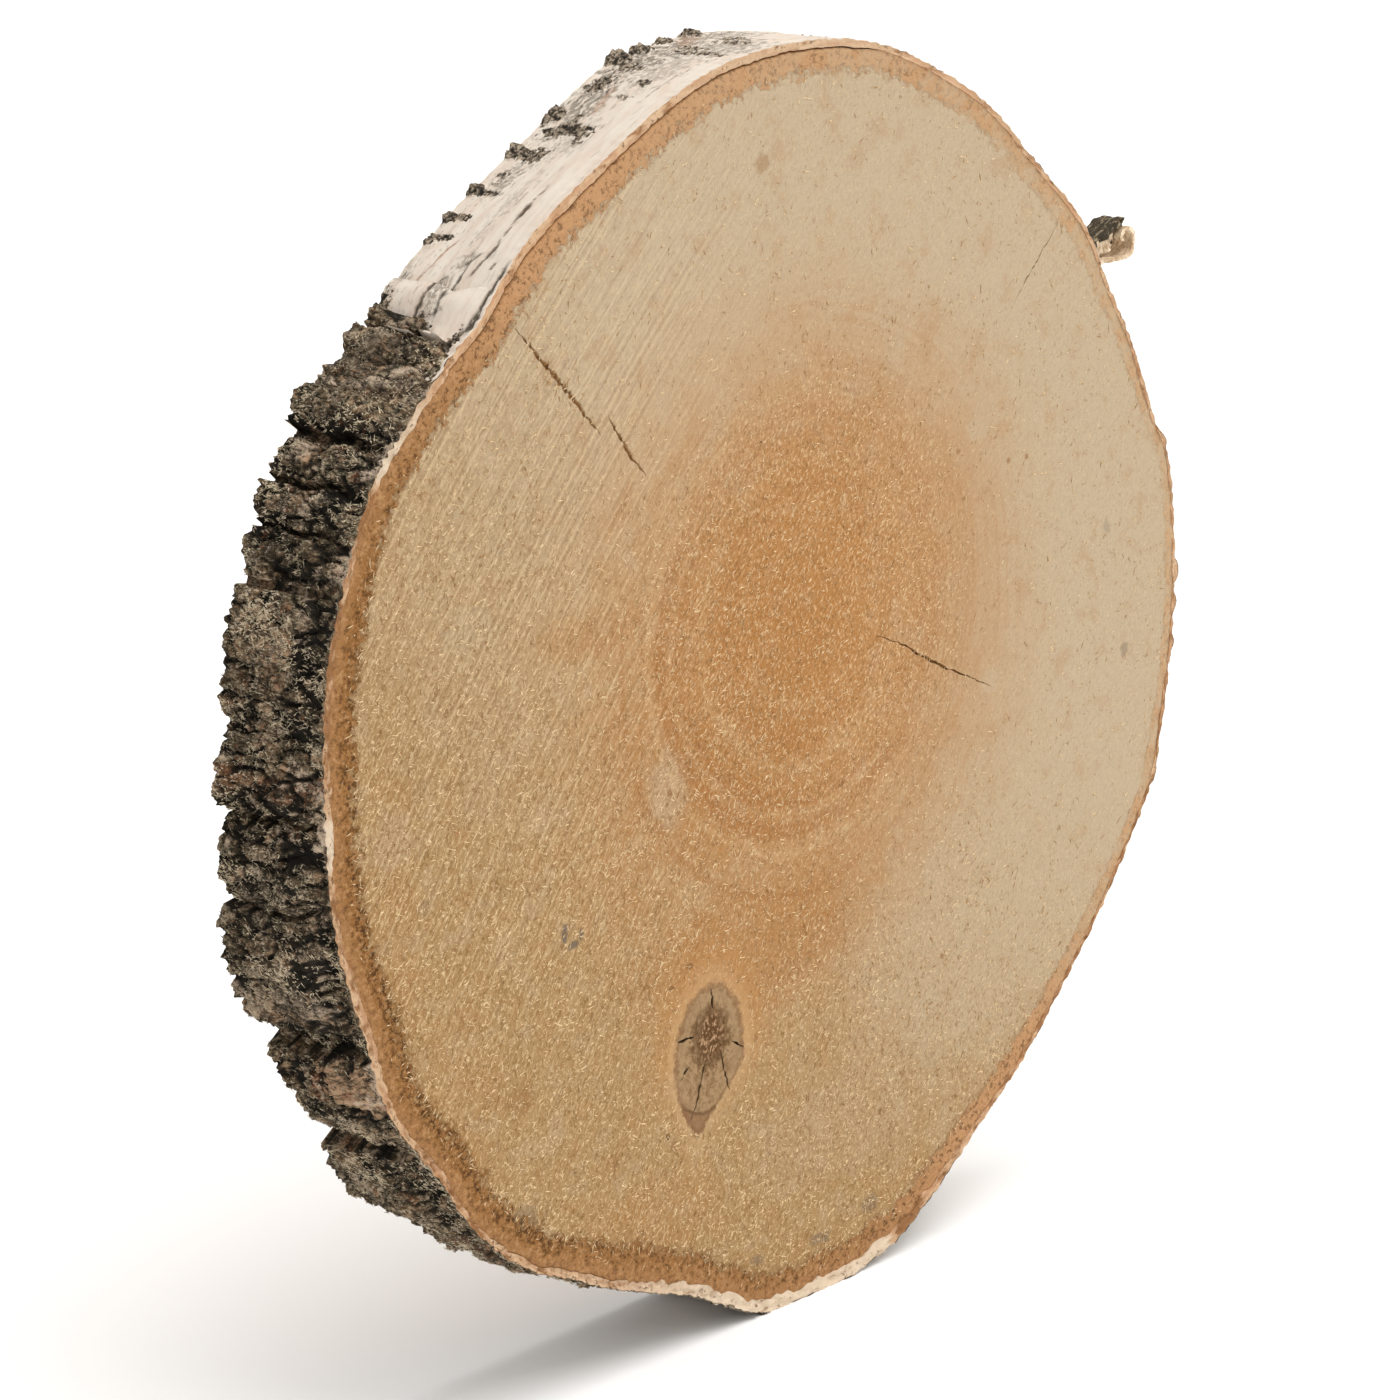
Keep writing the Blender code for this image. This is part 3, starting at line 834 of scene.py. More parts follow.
# %% Tinted zones of the face
SPOT_DEPTH = 40.0
TINTS = (
    (-16.0, 6.0, 34.0, 34.0, 0.42), (-18.0, -16.0, 30.0, 17.0, 0.34), (-4.0, 24.0, 34.0, 32.0, 0.26),
    (24.0, 18.0, 50.0, 46.0, 0.16), (-60.0, 24.0, 17.0, 5.0, 0.35), (-50.0, -14.0, 9.0, 26.0, 0.22),
    (12.0, 54.0, 24.0, 13.0, 0.10), (-12.0, -50.0, 36.0, 16.0, 0.52), (22.0, -44.0, 30.0, 14.0, 0.20),
    (-44.0, -101.0, 24.0, 11.0, 0.26), (-112.0, -22.0, 9.0, 38.0, 0.22), (-96.0, -64.0, 13.0, 30.0, 0.18),
)
PALE_SPOTS = (
    (-38.0, -11.0, 6.5, 9.0, 0.42), (30.0, 66.0, 4.0, 5.0, 0.30), (57.0, 47.0, 4.0, 3.0, 0.45),
    (63.0, -8.0, 4.0, 3.0, 0.30), (-92.0, 30.0, 8.0, 5.0, 0.30), (-112.0, -6.0, 6.0, 7.0, 0.30),
    (46.0, -46.0, 5.0, 6.0, 0.30), (-86.0, -100.0, 16.0, 6.0, 0.30), (60.0, -62.0, 46.0, 34.0, 0.42),
    (10.0, -96.0, 30.0, 14.0, 0.16),
)


def paint_spot(colour, spot, fray, tint):
    """Mixes one soft spot over a colour. A spot is its middle, its half size and its strength."""
    across, up, half_across, half_up, strength = spot
    inputs = {"Place": across_up, "Middle": (across, 0.0, up), "Fray": fray}
    inputs["Half Size"] = (half_across, SPOT_DEPTH, half_up)
    return r.mix(r.times(r.group(soft_spot, inputs), strength), colour, tint)


for spot in TINTS:
    wood = paint_spot(wood, spot, 1.1, HEART_DEEP)
for spot in PALE_SPOTS:
    wood = paint_spot(wood, spot, 1.3, SAP_PALE)
dark_rings = r.times(r.ramp(broad_rings, 0.50, 0.62), broad_side)
wood = r.mix(r.times(dark_rings, 0.52), wood, RING_ORANGE)
pale_rings = r.times(r.ramp(broad_rings, 0.46, 0.36), broad_side)
wood = r.mix(r.times(pale_rings, 0.30), wood, SAP_WARM_PALE)

# %% Fuzz and streaks over the colours, their dark side partly painted shade
fuzz = r.group(torn_fuzz, {"Place": across_up})
fuzzy_side = r.ramp(r.plus(slant, wobble), 40.0, -60.0, 0.32, 1.0)
fuzzy_side = r.math("MAXIMUM", fuzzy_side, r.times(r.ramp(ring_radius, 74.0, 30.0), 1.25))
# The dark side of the fuzz and of the saw streaks is partly darker fibres and partly painted shade in the
# pits between them.
for value, tint, strength in (
    (r.times(r.ramp(streaks, 0.51, 0.60), streak_zone), FUZZ_LIGHT, 0.27),
    (r.times(r.ramp(streaks, 0.47, 0.39), streak_zone), FIBRE_DARK_AND_PIT_SHADE, 0.24),
    (r.times(r.ramp(fuzz, 0.52, 0.60), fuzzy_side), FUZZ_LIGHT, 0.44),
    (r.times(r.ramp(fuzz, 0.48, 0.40), fuzzy_side), FIBRE_DARK_AND_PIT_SHADE, 0.42),
    (r.times(r.ramp(r.noise(across_up, 1.5, 4.0, 0.65), 0.60, 0.70), fuzzy_side), STAIN_BROWN, 0.50),
    (r.times(r.ramp(r.noise(across_up, 1.2, 2.0, 0.6), 0.68, 0.74), fuzzy_side), SPECK_RED, 0.65),
    (r.times(r.ramp(r.noise(across_up, 0.9, 2.0, 0.5), 0.70, 0.75), fuzzy_side), SPECK_DARK, 0.75),
):
    wood = r.mix(r.times(value, strength), wood, tint)

# %% Stains
STAINS = (
    (-10.6, 109.0, 2.6, 1.8, 0.50, STAIN_BROWN), (-79.0, -64.0, 3.6, 3.4, 0.50, STAIN_BROWN),
    (-67.0, -34.0, 1.0, 2.2, 0.85, STAIN_GREY), (-64.6, -36.8, 2.2, 1.1, 0.85, STAIN_GREY),
    (-62.4, -35.2, 0.8, 1.3, 0.80, STAIN_GREY), (-73.5, -39.5, 2.2, 1.4, 0.35, STAIN_BROWN),
    (8.0, -119.4, 3.2, 1.6, 0.60, STAIN_GREY), (25.0, -116.4, 3.6, 2.0, 0.55, STAIN_GREY),
    (-11.0, -118.2, 2.4, 1.4, 0.50, STAIN_GREY), (103.0, 19.0, 1.4, 2.2, 0.30, STAIN_GREY),
    (111.0, -10.0, 1.4, 1.8, 0.40, STAIN_GREY), (-78.0, -89.0, 5.0, 3.0, 0.35, STAIN_GREY),
    (-86.0, -20.0, 1.4, 1.4, 0.35, STAIN_BROWN), (-104.0, -20.0, 2.0, 2.0, 0.30, STAIN_GREY),
    (60.0, 33.5, 2.0, 1.2, 0.25, STAIN_BROWN), (-31.7, -49.2, 1.2, 0.6, 0.90, KNOT_CORE),
    (-36.7, -52.6, 1.1, 0.5, 0.80, KNOT_CORE), (-38.0, -83.6, 0.8, 0.8, 0.85, KNOT_CORE),
    (-36.0, -86.2, 1.1, 1.3, 0.55, STAIN_BROWN), (51.0, 43.5, 0.8, 0.8, 0.70, STAIN_BROWN),
    (53.0, 33.0, 0.8, 0.6, 0.70, STAIN_BROWN), (68.0, 39.0, 0.8, 0.7, 0.75, STAIN_BROWN),
    (74.0, 39.0, 0.8, 0.7, 0.75, STAIN_BROWN), (-99.0, 7.0, 1.4, 1.2, 0.30, STAIN_BROWN),
    (36.0, -122.5, 1.6, 2.6, 0.75, STAIN_GREY),
)
for *spot, tint in STAINS:
    wood = paint_spot(wood, spot, 2.4, tint)

# %% [markdown]
# ## The knot
# A knot is a branch that the trunk grew round. Seen across, it is an oval with a pointed foot: a warm
# halo, a grey ring, a dark torn core, and small cracks that the Boolean has cut. Its masks come from
# one distance, stretched to the oval and pulled to a point at its lower end.

# %% Knot
knot_offset = r.vector("SUBTRACT", across_up, (KNOT_MIDDLE[0], 0.0, KNOT_MIDDLE[1])).outputs[0]
knot_places = r.split(knot_offset)
narrowing = r.ramp(knot_places["Z"], -3.0, -17.5, 1.0, 0.46)
lean = r.ramp(knot_places["Z"], -2.0, -16.0, 0.0, 3.4)
knot_across = r.math("DIVIDE", r.plus(knot_places["X"], lean), r.times(narrowing, 10.1))
low_end = r.ramp(knot_places["Z"], 0.0, -3.0, 14.4, 16.4)
knot_up = r.math("DIVIDE", knot_places["Z"], low_end)
knot_reach = r.math("SQRT", r.plus(r.times(knot_across, knot_across), r.times(knot_up, knot_up)))
knot_fray = r.sway(0.45, across_up, 1.6, 5.0, 0.75)
knot_edge = r.plus(knot_reach, knot_fray)
halo_side = r.ramp(knot_places["Z"], -14.0, 2.0, 0.15, 0.50)
wood = r.mix(r.times(r.ramp(knot_edge, 2.1, 1.2), halo_side), wood, HEART)
wood = r.mix(r.times(r.ramp(knot_edge, 1.45, 1.06), 0.14), wood, FUZZ_LIGHT)
knot_grain = r.noise(knot_offset, 1.3, 4.0, 0.75)
knot_colour = r.mix(r.ramp(knot_grain, 0.36, 0.62), KNOT_GREY, KNOT_PALE)
flat_offset = r.vector("MULTIPLY", knot_offset, (1.25, 1.0, 1.0)).outputs[0]
core_offset = r.distance(flat_offset, (0.4, 0.0, 3.6))
knot_core = r.ramp(r.times_plus(knot_grain, 9.0, core_offset), 13.4, 9.6)
knot_colour = r.mix(r.times(knot_core, 0.70), knot_colour, KNOT_CORE)
deep_core = r.ramp(r.times_plus(knot_grain, 9.0, core_offset), 10.8, 7.4)
knot_colour = r.mix(r.times(deep_core, 0.80), knot_colour, KNOT_CORE)
threads = r.noise(knot_offset, 0.9, 4.0, 0.75, stretch=(1.0, 1.0, 1.6), turn=0.5)
core_threads = r.times(deep_core, r.ramp(threads, 0.51, 0.58))
knot_colour = r.mix(r.times(core_threads, 0.85), knot_colour, KNOT_THREAD)
pale_rim = r.times(r.ramp(knot_edge, 0.62, 0.80), r.ramp(knot_edge, 0.98, 0.86))
knot_colour = r.mix(r.times(pale_rim, 0.55), knot_colour, KNOT_PALE)
foot_side = r.plus(knot_places["X"], 1.0)
foot_height = r.times_plus(r.times(foot_side, foot_side), -0.055, knot_places["Z"])
foot_height = r.times_plus(knot_grain, 2.4, foot_height)
knot_colour = r.mix(r.ramp(foot_height, -11.0, -12.0, 0.0, 0.50), knot_colour, KNOT_RED)
foot_line = r.times(r.ramp(foot_height, -12.0, -11.2), r.ramp(foot_height, -10.4, -11.2))
knot_colour = r.mix(r.times(foot_line, 0.75), knot_colour, KNOT_CORE)
rim_dark = r.times(r.ramp(knot_edge, 0.88, 1.0), 0.6)
knot_colour = r.mix(rim_dark, knot_colour, KNOT_RED)
knot_mask = r.ramp(knot_edge, 1.08, 0.94)
wood = r.mix(knot_mask, wood, knot_colour)

# %% [markdown]
# ## The ring of inner bark
# It starts with a torn edge, is brown at the left and foot and pale at the right, and has a dark grubby
# line along its inner edge at the left where sap has dried.

# %% Inner bark
ring_share = r.mark("ring_share")
ring_fray = r.sway(2.0, across_up, 1.4, 5.0, 0.75)
ring_wander = r.sway(0.9, across_up, 5.0, 3.0, 0.6)
ring_edge = r.plus(ring_share, r.plus(ring_fray, ring_wander))
paleness_mark = r.mark("ring_paleness")
ring_colour = r.mix(r.ramp(paleness_mark, 0.0, 0.45), RING_BROWN, RING_TAN)
ring_colour = r.mix(r.ramp(paleness_mark, 0.45, 1.0), ring_colour, RING_PALE)
crumb = r.noise(across_up, 1.1, 4.0, 0.75)
crumb_size = r.ramp(paleness_mark, 1.0, 0.2, 0.35, 1.0)
ring_colour = r.mix(r.times(r.ramp(crumb, 0.47, 0.40, 0.0, 0.70), crumb_size), ring_colour, RING_CRUMB)
ring_colour = r.mix(r.times(r.ramp(crumb, 0.53, 0.62, 0.0, 0.48), crumb_size), ring_colour, RING_LIGHT)
outer_tan = r.times(r.ramp(ring_share, 0.45, 0.95), r.ramp(paleness_mark, 0.5, 0.1, 0.0, 0.30))
ring_colour = r.mix(outer_tan, ring_colour, RING_TAN)
ring_mask = r.ramp(ring_edge, -0.08, 0.16)
pale_blotches = r.ramp(r.noise(across_up, 4.5, 4.0, 0.7), 0.38, 0.62, 0.30, 1.0)
ring_mask = r.times(ring_mask, r.math("MAXIMUM", pale_blotches, r.ramp(paleness_mark, 0.9, 0.5)))
wood = r.mix(ring_mask, wood, ring_colour)
grubby_mark = r.mark("grubby_edge")
grubby_band = r.times(r.ramp(ring_share, -0.15, 0.18), r.ramp(ring_share, 0.66, 0.30))
grubby_specks = r.ramp(r.noise(across_up, 1.2, 4.0, 0.75), 0.51, 0.57)
grubby_band = r.times(r.times(grubby_band, grubby_mark), grubby_specks)
wood = r.mix(r.times(grubby_band, 0.90), wood, GRUBBY)

# %% Painted shade in the cracks and in the gap by the inner bark, and the surface of the wood
depth_now = r.split(where)["Y"]
# Painted shade: where the face lies deep in a crack or in the gap by the inner bark, its colour is
# darkened.
in_crack = r.times(r.ramp(depth_now, 0.32, 0.62), r.ramp(ring_share, 0.10, -0.05))
in_gap = r.times(r.ramp(depth_now, 0.75, 1.2), r.ramp(ring_share, 0.80, 0.92))
not_back = r.ramp(depth_now, 12.0, 9.0)
crack_and_gap_shade = r.times(r.math("MAXIMUM", in_crack, in_gap), not_back)
wood = r.mix(r.times(crack_and_gap_shade, 0.85), wood, r.mix(knot_mask, CRACK_SHADE, KNOT_CRACK_SHADE))
height = r.times_plus(r.times(streaks, streak_zone), 0.5, fuzz)
height = r.plus(height, r.times(r.times(crumb, ring_mask), 1.2))
height = r.plus(height, r.times(r.times(knot_grain, knot_mask), 0.8))
r.finish(wood_shader, wood, height, 0.6, 0.0009)
sawn_wood.data.materials.append(wood_paint)
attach(sawn_wood, "root")
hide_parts("wood_slice")

# %% [markdown]
# ## A band of bark
# Bark is a band round the rim: an outer skin with relief, and cut edges at the front and the back that
# show the cork. The grid goes along the rim, and its width goes once round the band's own section and
# meets itself.

# %% Section of a band
CORK_TONE = (
    (0, 0.55), (60, 0.55), (88, 0.66), (110, 0.60), (136, 0.50), (141, 0.45), (145, 0.80), (151, 0.95),
    (153, 0.20), (160, 0.38), (172, 0.22), (178, 0.42), (180, 0.95), (183, 0.95), (185, 0.34),
    (194, 0.46), (203, 0.60), (209, 0.42), (216, 0.36), (226, 0.45), (240, 0.62), (262, 0.95),
    (284, 0.90), (286, 0.0), (288, 0.0), (290, 0.45), (300, 0.40), (330, 0.30),
)
CUT_ROWS = 7
INSIDE_ROWS = 2


def edge_set_back(angle, seed):
    """How far the broken edge of the bark lies behind the cut face."""
    turn = math.radians(angle)
    ring = Vector((math.cos(turn), math.sin(turn), 0.0))
    coarse = noise.noise(ring * 60.0 + Vector((0.0, 0.0, seed)))
    fine = noise.noise(ring * 150.0 + Vector((3.0, 0.0, seed)))
    return max(0.0, 0.28 + (0.15 + 0.45 * rough_zone(angle % 360.0)) * coarse + 0.2 * fine)


def keep_in(point):
    """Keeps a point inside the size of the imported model."""
    return tuple(min(high, max(low, value)) for value, low, high in zip(point, CAD_LOW, CAD_HIGH))


def wrap_band(name, columns, skin_rows, angle_at, skin):
    """A closed band of bark. skin gives the relief and the marks at an angle and a depth."""
    zones = (("skin", skin_rows), ("back cut", CUT_ROWS), ("inside", INSIDE_ROWS), ("front cut", CUT_ROWS))
    rows = sum(count for zone, count in zones)
    band = add_grid(name, columns, rows)
    points = []
    marks = {}
    surface = []
    known = {}
    for along, across in grid_shares(band):
        zone, share = zone_of(round(across * rows) % rows, zones)
        front = edge_set_back(angle_at(along, 0.0), 1.0)
        back = THICKNESS - edge_set_back(angle_at(along, THICKNESS), 7.0)
        depth = {
            "skin": front + (back - front) * share,
            "back cut": back,
            "inside": back + (front - back) * share,
            "front cut": front,
        }[zone]
        angle = angle_at(along, depth)
        inner = wood_radius(angle)
        key = (round(along * columns), round(depth, 4))
        if key not in known:
            known[key] = skin(angle % 360.0, depth)
        lift, found = known[key]
        outer = max(inner + 0.5, front_radius(angle) + lift)
        radius = outer
        cut = 0.0
        if zone == "inside":
            radius = inner
            cut = 1.0
            if share >= 0.999:
                depth += 0.7 * by_angle(GAP_TABLE, angle)
        if zone in ("back cut", "front cut"):
            share = share if zone == "front cut" else 1.0 - share
            radius = inner + (outer - inner) * share
            hollow = math.sin(math.pi * share)
            crust = by_angle(RAGGED_CORK, angle)
            rough = noise_at(math.radians(angle) * 100.0, radius * 1.1, 2.0)
            rough += noise_at(math.radians(angle) * 40.0, radius * 0.7, 6.0)
            push = hollow * (0.25 + (0.25 + 0.45 * crust) * rough)
            if zone == "front cut":
                push += 0.7 * by_angle(GAP_TABLE, angle) * smooth_step(0.35, 0.0, share)
            depth += push if zone == "front cut" else -push
            cut = 1.0 if share < 0.97 else 0.5
        turn = math.radians(angle)
        up = radius * math.sin(turn)
        if FOOT_FIRST < angle % 360.0 < FOOT_LAST and zone == "skin":
            up -= FOOT_FILL * smooth_step(0.0, 1.0, depth)
        points.append(keep_in(place(radius * math.cos(turn), up, depth)))
        surface.append((turn * RIM_RADIUS, depth, radius))
        found = dict(found, cut=cut, cork_tone=by_angle(CORK_TONE, angle))
        for mark_name, value in found.items():
            marks.setdefault(mark_name, []).append(value)
    move_points(band, points)
    set_place_mark(band, "rim_place", surface)
    for mark_name, values in marks.items():
        set_mark(band, mark_name, values)
    close_up(band)
    return band


# %% [markdown]
# ## Marks on the bark
# Patches and streaks are drawn by formula: a patch is an oval with a torn edge, a streak is a thin line
# with a ragged width. Both are given by their angle round the rim and their depth from the front.

# %% Patches and streaks


def patch(angle, depth, patches, seed, tear=0.9, size=2.2):
    """How much of the torn ovals covers this place, from 0 to 1."""
    arc = math.radians(angle) * RIM_RADIUS
    fray = tear * noise_at(arc / size, depth / size, seed)
    fray += tear * 0.6 * noise_at(arc / size * 2.7, depth / size * 2.7, seed + 9.0)
    cover = 0.0
    for middle, patch_depth, half_angle, half_depth, strength in patches:
        across = around(angle, middle) / half_angle
        along = (depth - patch_depth) / half_depth
        if abs(across) < 2.0 and abs(along) < 2.0:
            reach = math.hypot(across, along) + fray
            cover = max(cover, strength * smooth_step(1.15, 0.75, reach))
    return cover


def streak(angle, depth, streaks, seed):
    """How much of the thin ragged lines covers this place, from 0 to 1."""
    arc = math.radians(angle) * RIM_RADIUS
    wave = 0.55 * noise_at(arc / 5.0, 0.0, seed)
    ragged = noise_at(arc / 1.3, depth / 0.8, seed + 4.0)
    cover = 0.0
    for first, first_depth, last, last_depth, half_width, strength in streaks:
        share = around(angle, first) / (last - first)
        if -0.1 < share < 1.1:
            fade = smooth_step(-0.1, 0.12, share) * smooth_step(1.1, 0.88, share)
            middle = first_depth + (last_depth - first_depth) * share + wave
            swell = half_width * (1.0 + 0.9 * noise_at(arc / 3.0, 5.0, seed) + 0.8 * ragged)
            if swell > 0.05:
                cover = max(cover, strength * fade * smooth_step(1.3, 0.6, abs(depth - middle) / swell))
    return cover


# %% [markdown]
# ## The old bark
# On the left and below, the bark is thick, black-brown and crumbly: chips a few millimetres wide with
# dark gaps between them, split along the trunk. A bump map would leave the outline smooth, so the
# relief is real: cells from a Voronoi pattern give the chips and gaps, and finer noise gives the grit.

# %% Relief of the old bark
OLD_BARK_START = (
    (0, 139.4), (3, 139.0), (5, 137.9), (8, 137.8), (12, 136.2), (15, 136.2), (18, 136.9), (22, 136.3),
    (27, 135.2),
)
OLD_BARK_END = 262.0
TAN_PATCHES = (
    (150.2, 19.0, 1.3, 3.4, 0.9), (154.5, 13.0, 1.0, 2.6, 0.5), (161.0, 20.0, 0.9, 3.0, 0.7),
    (166.0, 10.5, 2.6, 2.6, 0.7), (165.5, 18.0, 2.8, 5.0, 0.55), (168.0, 14.0, 1.4, 4.0, 0.5),
    (173.2, 15.0, 1.2, 2.6, 0.5), (204.6, 5.5, 2.8, 6.4, 0.95), (209.5, 8.0, 1.4, 5.0, 0.5),
    (190.6, 13.0, 0.8, 6.0, 0.5), (196.4, 18.0, 1.6, 3.4, 0.5), (214.0, 19.0, 1.4, 3.0, 0.5),
    (219.5, 9.0, 1.6, 3.4, 0.4), (247.0, 12.0, 5.0, 6.0, 0.5), (236.0, 6.0, 3.0, 4.0, 0.4),
)
BLACK_PATCHES = (
    (148.0, 11.0, 1.1, 15.0, 0.95), (153.6, 8.0, 1.6, 5.0, 0.7), (157.2, 20.0, 1.4, 8.0, 0.7),
    (165.0, 4.4, 3.4, 3.0, 0.9), (160.0, 12.0, 1.0, 6.0, 0.7), (171.8, 7.0, 2.0, 4.0, 0.5),
    (182.6, 5.0, 1.7, 4.8, 0.95), (189.2, 2.0, 1.6, 3.0, 0.7), (193.4, 5.0, 2.2, 3.4, 0.6),
    (200.6, 4.0, 1.2, 6.0, 0.8), (212.6, 12.0, 2.2, 5.0, 0.7), (216.4, 3.0, 2.4, 3.0, 0.7),
    (208.0, 0.0, 1.6, 2.4, 0.9), (226.6, 8.0, 1.4, 9.0, 0.7), (203.6, 18.6, 1.6, 2.6, 0.7),
    (240.0, 14.0, 3.0, 8.0, 0.6), (252.0, 6.0, 3.0, 5.0, 0.6),
)
GREY_PATCHES = (
    (195.6, 13.0, 2.4, 9.0, 0.75), (142.4, 15.0, 1.6, 11.0, 0.4), (139.5, 18.0, 1.6, 7.0, 0.45),
    (222.0, 18.0, 2.6, 6.0, 0.4), (231.0, 10.0, 3.4, 8.0, 0.35), (186.0, 14.0, 2.0, 10.0, 0.35),
)
PALE_PATCHES = (
    (180.8, 1.0, 2.0, 2.0, 1.0), (203.6, 1.0, 2.4, 1.2, 0.6), (159.6, 1.4, 0.8, 2.2, 0.7),
    (255.0, 8.0, 3.4, 3.4, 0.6), (243.0, 5.0, 2.0, 2.4, 0.5),
)
RED_STREAKS = (
    (175.6, 1.0, 176.0, 3.0, 2.0, 0.7), (176.2, 12.0, 178.2, 14.0, 12.0, 0.55),
    (225.4, 6.0, 229.6, 12.0, 6.0, 0.45), (202.6, 12.0, 206.4, 14.5, 1.6, 0.6),
)
PALE_RIDGE = (
    (140.6, 5.0, 142.8, 8.5, 0.9, 1.0), (142.9, 10.5, 143.7, 12.0, 3.0, 0.9),
    (143.5, 19.0, 144.4, 19.0, 8.0, 0.85), (147.4, 2.4, 151.0, 1.6, 1.3, 1.0),
    (151.0, 1.6, 152.6, 4.4, 1.2, 1.0), (149.6, 19.0, 151.4, 20.0, 2.2, 0.8),
)


def crumble(angle, depth):
    """The chips, gaps and grit of the old bark: their height, and how deep in a gap this is."""
    arc = math.radians(angle) * RIM_RADIUS
    chip_place = Vector((arc / 4.0, depth / 6.5, 0.0))
    chip_place += 0.30 * noise.noise_vector(Vector((arc / 3.0, depth / 4.0, 6.0)))
    near, middles = noise.voronoi(chip_place)
    chip_gap = smooth_step(0.24, 0.02, near[1] - near[0])
    chip_level = noise.noise(middles[0] * 5.3)
    near, middles = noise.voronoi(Vector((arc / 1.45, depth / 2.3, 5.0)))
    small_gap = smooth_step(0.26, 0.02, near[1] - near[0])
    small_level = noise.noise(middles[0] * 4.1)
    grit = noise_at(arc / 0.8, depth / 1.5, 2.0)
    dust = noise_at(arc / 0.36, depth / 0.6, 8.0)
    calm = 1.0 - 0.65 * smooth_step(150.0, 146.0, angle) - 0.35 * smooth_step(206.0, 214.0, angle)
    height = calm * (0.75 * chip_level - 0.95 * chip_gap) + 0.40 * small_level - 0.40 * small_gap
    height += 0.42 * grit + 0.22 * dust
    gap = calm * (0.62 * chip_gap - 0.5 * chip_level) + 0.34 * small_gap - 0.3 * small_level - 0.4 * grit
    return height, gap


def old_skin(angle, depth):
    """Relief and marks of the old bark."""
    height, gap = crumble(angle, depth)
    tan = patch(angle, depth, TAN_PATCHES, 11.0)
    black = patch(angle, depth, BLACK_PATCHES, 21.0)
    grey = patch(angle, depth, GREY_PATCHES, 31.0)
    pale = patch(angle, depth, PALE_PATCHES, 41.0, 0.5)
    ridge = streak(angle, depth, PALE_RIDGE, 3.0)
    red = streak(angle, depth, RED_STREAKS, 5.0)
    smooth = max(0.75 * grey, 0.85 * pale, 0.65 * tan)
    full = smooth_step(0.0, 2.4, depth)
    lift = bark_relief(angle, depth) + full * height * (1.0 - smooth) - 0.9 * full * black
    lift += 0.8 * ridge
    marks = {
        "gap": max(0.0, min(1.0, gap * (1.0 - smooth) * full + 0.25 * black)),
        "tan": tan, "black": black, "grey": grey, "pale": max(pale, ridge), "red": red,
    }
    return lift - 0.35, marks


# %% Wrap the old bark


def old_bark_angle(along, depth):
    """The old bark starts at a scalloped edge, so its first angle depends on the depth."""
    before = OLD_BARK_START[0]
    first = before[1]
    for after in OLD_BARK_START[1:]:
        if depth >= before[0]:
            share = min(1.0, (depth - before[0]) / (after[0] - before[0]))
            first = before[1] + (after[1] - before[1]) * share
        before = after
    first += 0.35 * noise_at(depth * 1.3, 0.0, 0.0)
    return first + (OLD_BARK_END - first) * along


old_bark = wrap_band("old_bark", 900, 84, old_bark_angle, old_skin)

# %% [markdown]
# ## The look of the old bark
# Black-brown in the gaps, grey-brown on the chips, with tan, grey and rusty patches where layers have
# come off, and pinkish tan cork on the cut edges. The gap mark darkens what lies deep to near black:
# painted shade in the gaps, over the bark's own black-brown.

# %% Old bark material
BARK_BLACK = (0.010, 0.009, 0.007)
BARK_DARK = (0.042, 0.031, 0.020)
BARK_BROWN = (0.150, 0.102, 0.058)
BARK_CHIP = (0.420, 0.335, 0.225)
BARK_TAN = (0.460, 0.290, 0.170)
BARK_GREY = (0.260, 0.205, 0.155)
BARK_RED = (0.260, 0.090, 0.038)
BARK_PALE = (0.560, 0.440, 0.330)
MOSS = (0.052, 0.058, 0.036)
CORK = (0.500, 0.290, 0.160)
CORK_BROWN = (0.285, 0.140, 0.058)
CORK_DARK = (0.130, 0.062, 0.028)
CORK_PALE = (0.600, 0.415, 0.255)
CORK_CREAM = (0.680, 0.560, 0.420)


def lay_cork(r, where, bark, ragged, low, high):
    """Puts cork over the cut edges of a bark: pinkish tan in thin layers, with brown specks."""
    layers = r.noise(where, 1.6, 3.0, 0.6, stretch=(4.0, 1.0, 1.0))
    specks = r.noise(where, 1.1, 4.0, 0.7)
    tone = r.mark("cork_tone")
    colour = r.mix(r.ramp(layers, 0.35, 0.65), CORK, CORK_PALE)
    colour = r.mix(r.ramp(tone, 0.5, 1.0), colour, CORK_CREAM)
    breaks = r.noise(where, 2.4, 4.0, 0.7, stretch=(2.0, 1.0, 0.8))
    brown = r.times_plus(r.math("SUBTRACT", breaks, 0.5), 3.4, r.ramp(tone, 0.75, 0.0))
    colour = r.mix(r.ramp(brown, 0.15, 0.80), colour, CORK_BROWN)
    colour = r.mix(r.ramp(r.times_plus(layers, 0.4, specks), 0.78, 0.88, 0.0, 0.8), colour, CORK_DARK)
    return r.mix(r.ramp(r.times_plus(specks, ragged, r.mark("cut")), low, high), bark, colour)


